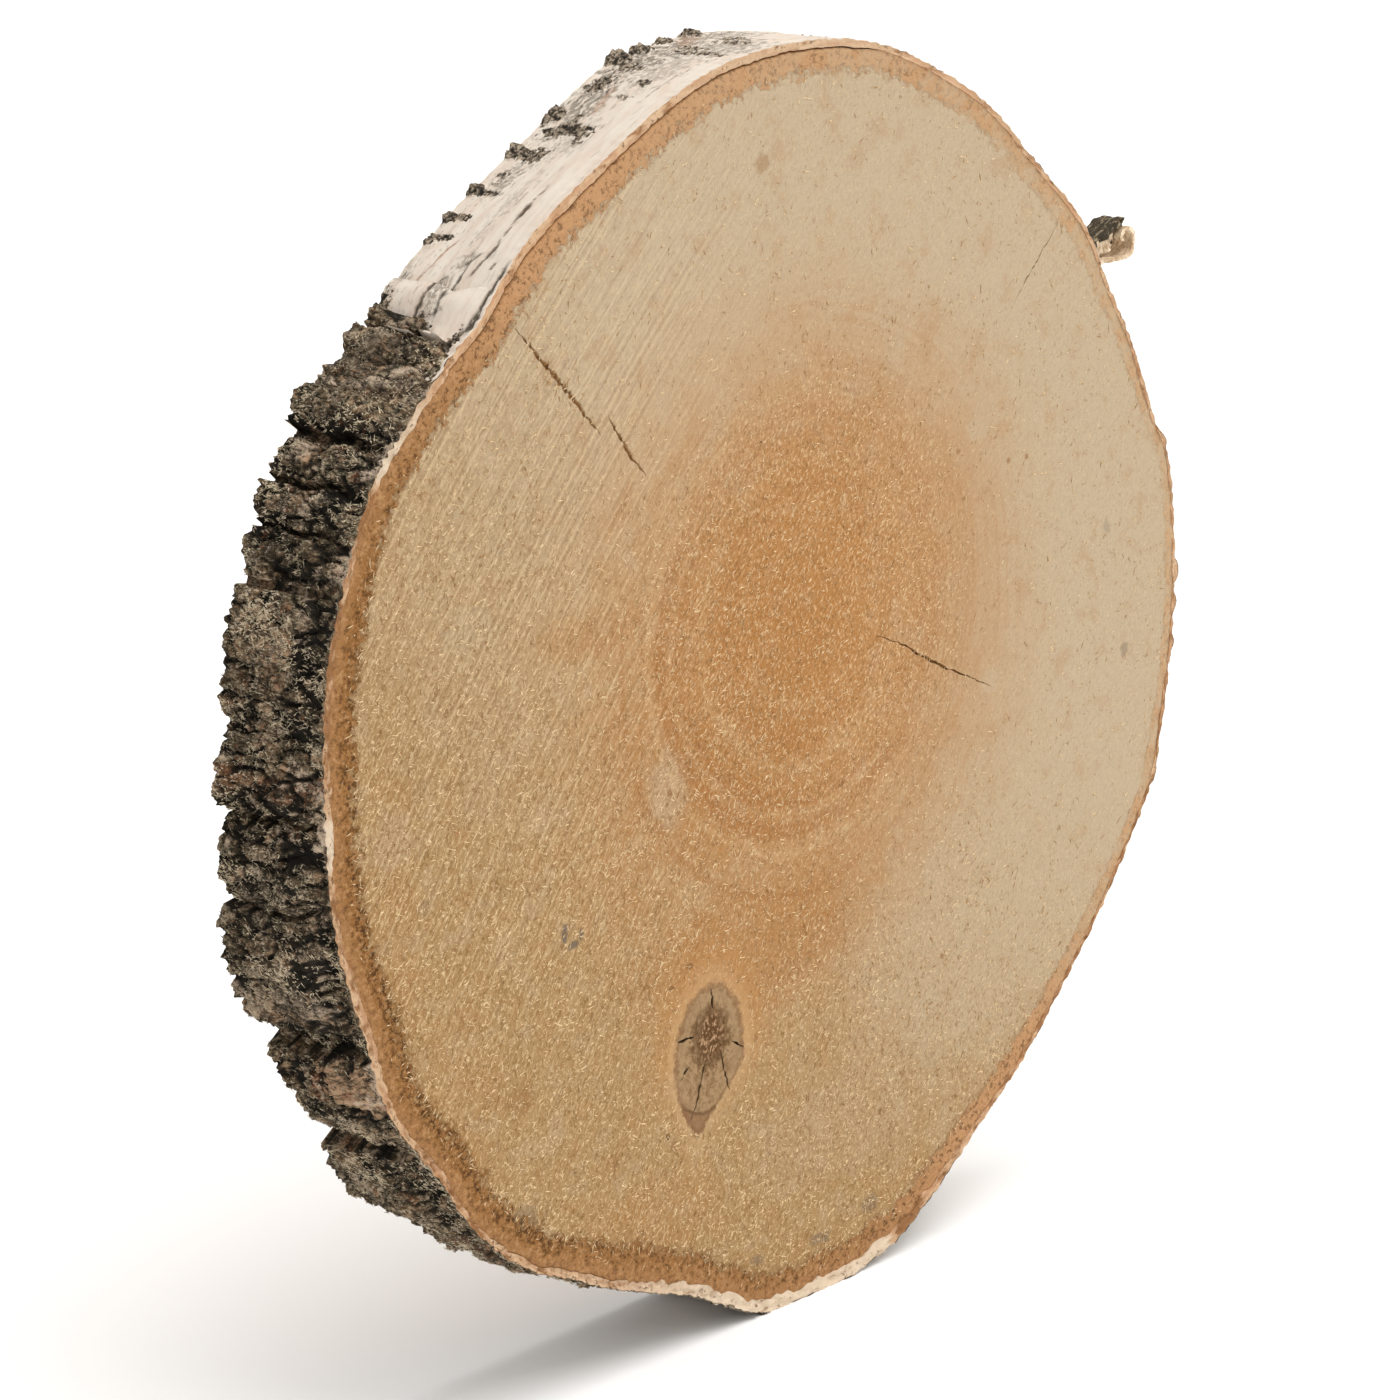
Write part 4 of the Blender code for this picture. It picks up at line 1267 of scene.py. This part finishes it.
bark_paint, r, bark_shader = new_material("old_birch_bark", 0.88)
rim_where = r.mark("rim_place", "Vector")
chips = r.noise(rim_where, 1.0, 4.0, 0.7, stretch=(1.0, 1.8, 1.0))
broad = r.noise(rim_where, 7.0, 3.0, 0.6)
bark = r.mix(r.ramp(broad, 0.36, 0.62), BARK_DARK, BARK_BROWN)
bark = r.mix(r.ramp(r.noise(rim_where, 5.0, 3.0, 0.6), 0.55, 0.68, 0.0, 0.55), bark, MOSS)
bark = r.mix(r.ramp(chips, 0.50, 0.62, 0.0, 0.75), bark, BARK_CHIP)
grain = r.noise(rim_where, 0.75, 4.0, 0.75, stretch=(1.0, 2.6, 1.0))
patch_dark = r.ramp(chips, 0.50, 0.36, 0.0, 0.7)
for mark_name, tint, strength in (
    ("grey", BARK_GREY, 0.85), ("tan", BARK_TAN, 0.85), ("red", BARK_RED, 0.75), ("pale", BARK_PALE, 0.95),
):
    tint_now = r.mix(patch_dark, tint, tuple(value * 0.45 for value in tint))
    bark = r.mix(r.times(r.mark(mark_name), strength), bark, tint_now)
bark = r.mix(r.times(r.mark("black"), 0.85), bark, BARK_BLACK)
warm = r.noise(rim_where, 4.2, 4.0, 0.65)
bark = r.mix(r.ramp(warm, 0.56, 0.66, 0.0, 0.60), bark, BARK_TAN)
bark = r.mix(r.ramp(warm, 0.42, 0.34, 0.0, 0.45), bark, BARK_RED)
cream = r.noise(rim_where, 5.5, 5.0, 0.7, stretch=(1.5, 1.0, 1.0))
bark = r.mix(r.ramp(cream, 0.56, 0.62, 0.0, 0.70), bark, BARK_PALE)
bark = r.mix(r.ramp(cream, 0.43, 0.37, 0.0, 0.45), bark, BARK_BLACK)
bark = r.mix(r.ramp(grain, 0.49, 0.40, 0.0, 0.75), bark, BARK_BLACK)
pale_zone = r.ramp(r.noise(rim_where, 5.0, 3.0, 0.6), 0.42, 0.58, 0.15, 0.90)
bark = r.mix(r.times(r.ramp(grain, 0.54, 0.62), pale_zone), bark, BARK_CHIP)
# Painted shade: the gap mark darkens the deep places between the chips to near black.
bark = r.mix(r.ramp(r.mark("gap"), 0.12, 0.72, 0.0, 0.95), bark, BARK_BLACK)
bark = lay_cork(r, rim_where, bark, 0.5, 0.66, 0.86)
height = r.times_plus(grain, 0.5, chips)
r.finish(bark_shader, bark, height, 0.7, 0.0006)
old_bark.data.materials.append(bark_paint)
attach(old_bark, "root")
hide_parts("wood_slice")

# %% [markdown]
# ## The papery bark
# At the top the bark is young: smooth, cream white and papery, with thin dark streaks that run round
# the trunk, grey rubbed zones, and black scabs near the back. The same band goes on round the far side,
# where the photograph doesn't look and where the scabs are spread by noise.

# %% Relief of the papery bark
SCABS = (
    (91.6, 14.0, 1.0, 3.6, 0.7), (93.2, 10.5, 0.9, 4.2, 0.7), (97.6, 11.0, 0.6, 7.0, 0.75),
    (96.4, 16.0, 0.7, 4.4, 0.7), (102.2, 20.0, 1.1, 3.0, 0.8), (104.6, 11.4, 0.8, 2.0, 0.8),
    (105.2, 21.4, 1.3, 3.0, 0.95), (107.0, 12.0, 0.6, 2.6, 0.6), (110.4, 18.0, 1.0, 1.4, 0.7),
    (111.9, 17.0, 1.0, 6.6, 1.0), (112.8, 12.0, 1.2, 2.0, 0.7), (115.6, 20.0, 1.1, 4.6, 0.9),
    (118.8, 22.0, 1.3, 1.8, 0.6), (121.2, 21.6, 0.5, 2.6, 1.0), (124.6, 22.2, 0.5, 2.4, 1.0),
    (127.0, 22.4, 0.5, 2.2, 1.0), (135.6, 25.0, 2.0, 1.8, 0.9), (101.0, 25.4, 1.6, 1.2, 0.8),
    (98.4, 25.0, 1.2, 1.6, 0.8), (92.0, 25.0, 1.2, 2.0, 0.8), (137.6, 3.4, 1.4, 1.2, 0.8),
    (136.4, 13.6, 0.9, 2.6, 0.8),
)
RUBBED = (
    (123.0, 12.8, 5.4, 1.4, 0.35), (133.4, 12.9, 2.8, 2.4, 0.75), (129.4, 11.4, 1.4, 1.4, 0.6),
    (101.0, 12.0, 5.0, 6.0, 0.55), (108.0, 20.0, 5.0, 5.0, 0.90), (95.0, 9.0, 4.0, 8.0, 0.75),
    (119.0, 20.0, 2.6, 3.0, 0.70), (132.6, 24.6, 3.0, 1.4, 0.5), (99.0, 20.0, 6.0, 6.0, 1.00),
    (113.0, 14.0, 3.0, 4.0, 0.45), (91.0, 20.0, 5.0, 6.0, 0.90),
)
BROWN_MARKS = (
    (105.6, 17.0, 109.8, 14.6, 0.9, 0.6), (127.3, 18.0, 132.4, 21.0, 0.30, 0.9),
    (122.6, 7.1, 124.0, 6.9, 0.5, 0.8), (92.0, 24.0, 96.4, 18.0, 2.2, 0.5),
    (127.6, 6.2, 128.6, 7.0, 0.5, 0.6),
)
DARK_STREAKS = (
    (129.4, 1.1, 136.6, 1.8, 0.45, 1.0), (134.0, 1.5, 139.6, 3.8, 0.60, 1.0),
    (120.0, 7.2, 128.0, 6.8, 0.20, 0.9), (122.4, 7.1, 124.2, 6.9, 0.50, 0.9),
    (127.4, 6.4, 131.0, 8.6, 0.40, 0.9), (128.6, 9.4, 130.2, 11.4, 0.50, 0.8),
    (129.8, 10.8, 135.6, 11.2, 0.28, 0.9), (131.6, 14.6, 137.0, 16.4, 0.42, 1.0),
    (118.0, 10.7, 124.0, 10.9, 0.12, 0.5), (101.0, 5.9, 107.4, 6.1, 0.14, 0.6),
    (129.4, 4.2, 130.2, 4.6, 0.35, 0.8), (110.4, 9.0, 114.6, 9.2, 0.16, 0.6),
)


def papery_skin(angle, depth):
    """Relief and marks of the white bark. On the hidden side its scabs are spread by noise."""
    arc = math.radians(angle) * RIM_RADIUS
    hidden = 1.0 - smooth_step(80.0, 90.0, angle) * (1.0 - smooth_step(150.0, 160.0, angle))
    spread = noise_at(arc / 22.0, depth / 9.0, 1.0) + 0.5 * noise_at(arc / 6.0, depth / 3.0, 2.0)
    torn = 0.35 * noise_at(arc / 1.6, depth, 3.0)
    scab = patch(angle, depth, SCABS, 51.0, 0.8, 1.5)
    # Under the foot the bark gets more scabs and grey, so it is darker there: partly the dark bark of the
    # underside, partly painted shade where the slice meets the floor.
    under_foot = smooth_step(252.0, 262.0, angle) * (1.0 - smooth_step(292.0, 304.0, angle))
    scab = max(scab, hidden * smooth_step(0.28, 0.40, spread + torn + 0.45 * under_foot))
    dashes = noise_at(arc / 5.0, depth / 0.55, 17.0)
    lines = streak(angle, depth, DARK_STREAKS, 61.0)
    lines = max(lines, (0.25 + 0.6 * hidden) * smooth_step(0.46, 0.60, dashes))
    grey = max(patch(angle, depth, RUBBED, 71.0, 0.8, 1.8), 0.8 * under_foot)
    grey = max(grey, 0.5 * hidden * smooth_step(0.05, 0.35, spread))
    brown = streak(angle, depth, BROWN_MARKS, 81.0)
    grit = noise_at(arc / 0.9, depth / 0.8, 12.0)
    near, middles = noise.voronoi(Vector((arc / 1.8, depth / 1.2, 15.0)))
    scab_gap = smooth_step(0.24, 0.03, near[1] - near[0])
    full = smooth_step(0.0, 1.6, depth)
    flakes = flake_lift(angle, depth)
    scab = max(scab, smooth_step(0.15, 0.55, flakes + torn))
    under = smooth_step(133.0, 137.5, angle) * (1.0 - smooth_step(150.0, 160.0, angle))
    lift = bark_relief(angle, depth)
    lift -= under * full * (plate_lift(angle) * smooth_step(0.0, 9.0, depth) + 0.5)
    lift += full * scab * (0.18 + 0.50 * grit - 0.45 * scab_gap) - 0.35 * flakes * (1.0 - 0.8 * abs(grit))
    lift += 0.10 * noise_at(arc / 9.0, depth / 1.6, 14.0) - 0.18 * lines + 0.08 * grit * grey
    marks = {"scab": scab, "lines": lines, "grey": grey, "brown": brown, "gap": scab * scab_gap}
    return lift - 0.1, marks


# %% Wrap the papery bark
PAPERY_START = 259.0
PAPERY_TOP = 440.0
PAPERY_END = 502.0
FAR_SIDE_SHARE = 0.58


def papery_angle(along, depth):
    """From the foot round the far side to the top. The columns are closest where the photograph looks."""
    if along < FAR_SIDE_SHARE:
        return PAPERY_START + (PAPERY_TOP - PAPERY_START) * along / FAR_SIDE_SHARE
    return PAPERY_TOP + (PAPERY_END - PAPERY_TOP) * (along - FAR_SIDE_SHARE) / (1.0 - FAR_SIDE_SHARE)


papery_bark = wrap_band("papery_bark", 980, 72, papery_angle, papery_skin)

# %% Papery bark material
PAPER_CREAM = (0.715, 0.640, 0.550)
PAPER_PINK = (0.670, 0.560, 0.465)
PAPER_GREY = (0.235, 0.205, 0.165)
SCAB_DARK = (0.060, 0.046, 0.031)
SCAB_LIGHT = (0.380, 0.310, 0.230)
MARK_BROWN = (0.330, 0.190, 0.110)

paper_paint, r, paper_shader = new_material("papery_birch_bark", 0.72)
rim_where = r.mark("rim_place", "Vector")
sheets = r.noise(rim_where, 2.2, 3.0, 0.6, stretch=(7.0, 1.0, 1.0))
paper = r.mix(r.ramp(sheets, 0.40, 0.66), PAPER_CREAM, PAPER_PINK)
threads = r.noise(rim_where, 0.35, 3.0, 0.7, stretch=(9.0, 1.0, 1.0))
paper = r.mix(r.ramp(threads, 0.60, 0.78, 0.0, 0.22), paper, PAPER_GREY)
mottle = r.noise(rim_where, 0.9, 4.0, 0.75, stretch=(2.0, 1.0, 1.0))
grey_mask = r.times(r.mark("grey"), r.ramp(mottle, 0.42, 0.53))
paper = r.mix(r.times(grey_mask, 0.95), paper, PAPER_GREY)
fine_specks = r.ramp(r.noise(rim_where, 0.8, 4.0, 0.75, stretch=(2.6, 1.0, 1.0)), 0.56, 0.63)
speck_depth = r.ramp(r.split(rim_where)["Y"], 8.0, 20.0, 0.06, 0.35)
speck_zone = r.times_plus(r.mark("grey"), 0.6, speck_depth)
paper = r.mix(r.times(fine_specks, speck_zone), paper, SCAB_DARK)
paper = r.mix(r.times(r.mark("brown"), r.ramp(mottle, 0.30, 0.55, 0.5, 0.95)), paper, MARK_BROWN)
scab_grain = r.noise(rim_where, 0.55, 4.0, 0.75, stretch=(2.4, 1.0, 1.0))
scab_colour = r.mix(r.ramp(scab_grain, 0.44, 0.56), SCAB_DARK, SCAB_LIGHT)
scab_holes = r.ramp(r.times_plus(scab_grain, 0.9, r.times(r.mark("scab"), -0.35)), 0.26, 0.36)
paper = r.mix(r.times(r.mark("lines"), r.ramp(mottle, 0.34, 0.50, 0.55, 0.95)), paper, SCAB_DARK)
scab_mask = r.ramp(r.times_plus(mottle, 1.8, r.mark("scab")), 1.30, 1.55)
paper = r.mix(r.times(scab_mask, r.times_plus(scab_holes, -0.55, 1.0)), paper, scab_colour)
# Painted shade: the gap mark darkens the cracks between the scab flakes to near black.
paper = r.mix(r.ramp(r.mark("gap"), 0.2, 0.9, 0.0, 0.9), paper, BARK_BLACK)
paper = lay_cork(r, rim_where, paper, 0.4, 0.60, 0.80)
height = r.times_plus(mottle, 0.4, r.times(sheets, 0.8))
r.finish(paper_shader, paper, height, 0.35, 0.0004)
papery_bark.data.materials.append(paper_paint)
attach(papery_bark, "root")
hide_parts("wood_slice")

# %% [markdown]
# ## The curl of loose bark
# At the upper right a strip of bark has come away and rolled up. A rolled strip is a grid bent along a
# line, given its thickness by a Solidify modifier that is applied, so that both sides and the edges are
# real.

# %% Curl
CURL_STRIPS = (
    (((91.8, 73.4), (94.4, 74.8), (97.6, 76.8), (101.0, 77.7), (105.0, 77.6), (108.8, 77.9), (111.2, 79.4),
      (111.9, 81.4), (110.6, 83.4), (108.6, 84.0), (107.2, 83.0), (107.4, 81.4)), 0.9, 1.2, 7.2),
    (((90.2, 75.4), (93.0, 77.6), (96.2, 79.8), (100.0, 82.0), (103.4, 83.6), (106.4, 85.2), (108.6, 85.6)),
     1.5, 2.0, 7.6),
    (((92.4, 75.6), (96.4, 78.6), (100.6, 80.4), (104.0, 81.0), (106.0, 82.4)), 3.2, 2.8, 7.2),
)


def smooth_line(points, share):
    """A place on a smooth curve through the given points, and its direction."""
    last = len(points) - 1
    index = min(last - 1, int(share * last))
    t = share * last - index
    before, here, there, after = (
        Vector(points[min(last, max(0, index + step))]) for step in (-1, 0, 1, 2)
    )
    middle = (
        here * (2 * t ** 3 - 3 * t ** 2 + 1) + (there - before) * 0.5 * (t ** 3 - 2 * t ** 2 + t)
        + there * (3 * t ** 2 - 2 * t ** 3) + (after - here) * 0.5 * (t ** 3 - t ** 2)
    )
    run = (
        (there - here) * (6 * t - 6 * t ** 2) + (there - before) * 0.5 * (3 * t ** 2 - 4 * t + 1)
        + (after - here) * 0.5 * (3 * t ** 2 - 2 * t)
    )
    return middle, run.normalized()


def bend_strip(name, points, thickness, near, far, seed):
    """A strip of bark that follows a line across the face, from its front edge to its back edge."""
    strip = add_grid(name, 72, 18)
    places = []
    for along, across in grid_shares(strip):
        middle, run = smooth_line(points, along)
        side = Vector((-run.y, run.x))
        ragged = 0.9 * noise_at(along * 9.0, seed, 0.0) + 0.35 * noise_at(along * 31.0, seed, 1.0)
        start = near + ragged
        end = far - 0.8 * noise_at(along * 7.0, seed, 5.0)
        depth = start + (end - start) * across
        wave = 0.35 * noise_at(along * 6.0, across * 3.0, seed + 3.0)
        wave += 0.16 * noise_at(along * 24.0, across * 9.0, seed + 6.0)
        spot = middle + side * wave
        places.append(place(spot.x, spot.y, depth))
    move_points(strip, places)
    set_mark(strip, "outer_skin", [1.0 if seed == 7.0 else 0.0] * len(places))
    select_only(strip)
    wall = strip.modifiers.new("wall", "SOLIDIFY")
    wall.thickness = thickness * MM
    wall.offset = 0.0
    bpy.ops.object.modifier_apply(modifier="wall")
    return strip


strips = [bend_strip(f"curl_{number}", *row, number * 7.0) for number, row in enumerate(CURL_STRIPS)]
select_only(strips[0])
for strip in strips:
    strip.select_set(True)
bpy.ops.object.join()
bark_curl = bpy.context.active_object
bark_curl.name = "bark_curl"
close_up(bark_curl)

# %% Curl material
CURL_TAN = (0.440, 0.300, 0.175)
CURL_PALE = (0.800, 0.660, 0.480)
CURL_DARK = (0.052, 0.042, 0.028)
CURL_GREY = (0.330, 0.260, 0.170)
curl_paint, r, curl_shader = new_material("curl_cork", 0.85)
where = r.group(slice_place, {})
curl_grain = r.noise(where, 0.9, 4.0, 0.75, stretch=(2.5, 1.0, 2.5))
curl = r.mix(r.ramp(curl_grain, 0.38, 0.62), CURL_TAN, CURL_PALE)
curl_skin = r.mix(r.ramp(curl_grain, 0.50, 0.66), CURL_DARK, CURL_GREY)
curl = r.mix(r.mark("outer_skin"), curl, curl_skin)
r.finish(curl_shader, curl, curl_grain, 0.5, 0.0004)
bark_curl.data.materials.append(curl_paint)
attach(bark_curl, "root")
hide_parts("wood_slice")

# %% [markdown]
# ## Loose fibres
# A rough saw leaves thousands of short pale fibres on the face, and old bark sheds its own. Hair would
# be the quick way, but a hair isn't a solid. One sliver is a cone with three sides and its mirror
# image, and every fibre is a copy of it, laid on the surface with its own length, turn and place.

# %% One sliver and its copies
bpy.ops.object.select_all(action="DESELECT")
bpy.ops.mesh.primitive_cone_add(
    vertices=3, radius1=0.5, depth=0.5, end_fill_type="NOTHING", location=(0.0, 0.0, 0.25),
)
sliver = bpy.context.active_object
bpy.ops.object.transform_apply(location=True, rotation=False, scale=False)
other_half = sliver.modifiers.new("other half", "MIRROR")
other_half.use_axis = (False, False, True)
bpy.ops.object.modifier_apply(modifier="other half")
SLIVER_POINTS = [tuple(point.co) for point in sliver.data.vertices]
SLIVER_FACES = [tuple(face.vertices) for face in sliver.data.polygons]
bpy.data.objects.remove(sliver)
print("one sliver has", len(SLIVER_POINTS), "points and", len(SLIVER_FACES), "faces")


def scatter(name, fibres):
    """One piece made of many slivers. A fibre is its middle, run, outward way, length, width and rise."""
    points = []
    faces = []
    for middle, run, out, length, width, rise in fibres:
        side = run.cross(out)
        first = len(points)
        for x, y, z in SLIVER_POINTS:
            lift = rise * abs(z) * 2.0
            spot = middle + run * (z * length) + side * (x * width) + out * (y * width * 0.7 + lift)
            points.append(keep_in(spot * MM))
        faces.extend(tuple(first + corner for corner in face) for face in SLIVER_FACES)
    mesh = bpy.data.meshes.new(name)
    mesh.from_pydata(points, [], faces)
    piece = bpy.data.objects.new(name, mesh)
    bpy.context.scene.collection.objects.link(piece)
    select_only(piece)
    bpy.ops.object.mode_set(mode="EDIT")
    bpy.ops.mesh.select_all(action="SELECT")
    bpy.ops.mesh.normals_make_consistent(inside=False)
    bpy.ops.object.mode_set(mode="OBJECT")
    print(name, "has", len(fibres), "slivers")
    return piece


# %% Fibres on the sawn face
SAW_FIBRES = 30000
FACE_REACH = (125.0, 128.0)
KNOT_HALF_SIZE = (10.6, 14.2)
FIBRE_TURN = 55.0
FIBRE_TURN_SPREAD = 62.0
LONGEST_SAW_FIBRE = 3.6
random.seed(11)
fibres = []
while len(fibres) < SAW_FIBRES:
    across = random.uniform(-FACE_REACH[0], FACE_REACH[0])
    up = random.uniform(-FACE_REACH[1], FACE_REACH[1])
    angle = math.degrees(math.atan2(up, across)) % 360.0
    radius = math.hypot(across, up)
    room = wood_radius(angle) - radius
    in_knot = math.hypot(
        (across - KNOT_MIDDLE[0]) / KNOT_HALF_SIZE[0], (up - KNOT_MIDDLE[1]) / KNOT_HALF_SIZE[1],
    )
    slant = across * SLANT[0] + up * SLANT[1]
    clump = 30.0 * noise.noise(Vector((across, up, 0.0)) / 30.0)
    wanted = 0.10 + 0.90 * smooth_step(25.0, -65.0, slant + clump)
    wanted += 0.30 * smooth_step(60.0, 25.0, math.hypot(across - PITH[0], up - PITH[2]))
    ring_width = by_angle(RING_WIDTH, angle)
    if room < ring_width * 0.3 or in_knot < 1.2 or random.random() > wanted:
        continue
    if room < ring_width * 0.85 and random.random() < 0.9:
        continue
    turn = math.radians(FIBRE_TURN + random.gauss(0.0, FIBRE_TURN_SPREAD))
    run = Vector((math.cos(turn), 0.0, math.sin(turn)))
    middle = Vector((across + MIDDLE_SHIFT, FACE_STEP - 0.05 - THICKNESS / 2.0, up + MIDDLE_HEIGHT))
    length = min(LONGEST_SAW_FIBRE, random.lognormvariate(0.10, 0.50))
    width = random.uniform(0.13, 0.29)
    fibres.append((middle, run, Vector((0.0, -1.0, 0.0)), length, width, random.uniform(-0.05, 0.18)))
saw_fibres = scatter("saw_fibres", fibres)

# %% Fibres on the old bark
BARK_FIBRES = 24000
LONGEST_BARK_FIBRE = 3.0
BARK_FIBRE_LEAN = 0.55
FIBRE_ZONES = (
    (158.0, 175.0, 1.0), (175.0, 183.0, 0.5), (183.0, 193.0, 0.9), (193.0, 202.0, 0.7),
    (202.0, 208.0, 0.15), (208.0, 226.0, 0.9), (226.0, 260.0, 0.6), (137.0, 146.0, 0.45),
    (146.0, 158.0, 0.7),
)
random.seed(23)
fibres = []
while len(fibres) < BARK_FIBRES:
    first, last, wanted = random.choices(FIBRE_ZONES, [(z[1] - z[0]) * z[2] for z in FIBRE_ZONES])[0]
    angle = random.uniform(first, last)
    depth = random.uniform(0.8, THICKNESS - 0.8)
    lift, marks = old_skin(angle, depth)
    if marks["gap"] > 0.75 or angle < old_bark_angle(0.0, depth) + 0.3:
        continue
    turn = math.radians(angle)
    out = Vector((math.cos(turn), 0.0, math.sin(turn)))
    round_rim = Vector((-math.sin(turn), 0.0, math.cos(turn)))
    lean = random.gauss(0.0, BARK_FIBRE_LEAN)
    run = (Vector((0.0, math.cos(lean), 0.0)) + round_rim * math.sin(lean)).normalized()
    radius = front_radius(angle) + lift + 0.05
    middle = Vector((0.0, depth - THICKNESS / 2.0, MIDDLE_HEIGHT)) + out * radius
    middle.x += MIDDLE_SHIFT
    length = min(LONGEST_BARK_FIBRE, random.lognormvariate(0.1, 0.45))
    fibres.append((middle, run, out, length, random.uniform(0.13, 0.33), random.uniform(-0.1, 0.25)))
bark_fibres = scatter("bark_fibres", fibres)

# %% Fibre materials
for piece, name, dark, light, clumps, slot_name in (
    (saw_fibres, "saw_fibre", (0.34, 0.185, 0.070), (0.82, 0.64, 0.39), 0.15, "birch_wood"),
    (bark_fibres, "bark_fibre", (0.045, 0.034, 0.020), (0.66, 0.56, 0.40), 0.50, "birch_bark"),
):
    paint, r, shader = new_material(name, 0.85)
    where = r.group(slice_place, {})
    single = r.times(r.noise(where, 1.3, 4.0, 0.75), 1.0 - clumps)
    spread = r.times_plus(r.noise(where, 9.0, 3.0, 0.6), clumps, single)
    tint = r.mix(r.ramp(spread, 0.44, 0.56), dark, light)
    r.finish(shader, tint)
    piece.data.materials.append(paint)
    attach(piece, "root")
    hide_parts("wood_slice")

# %% [markdown]
# ## The end
# The dressed slice has to be the size of the imported model.

# %% The end
bpy.ops.object.select_all(action="DESELECT")
bpy.context.view_layer.update()
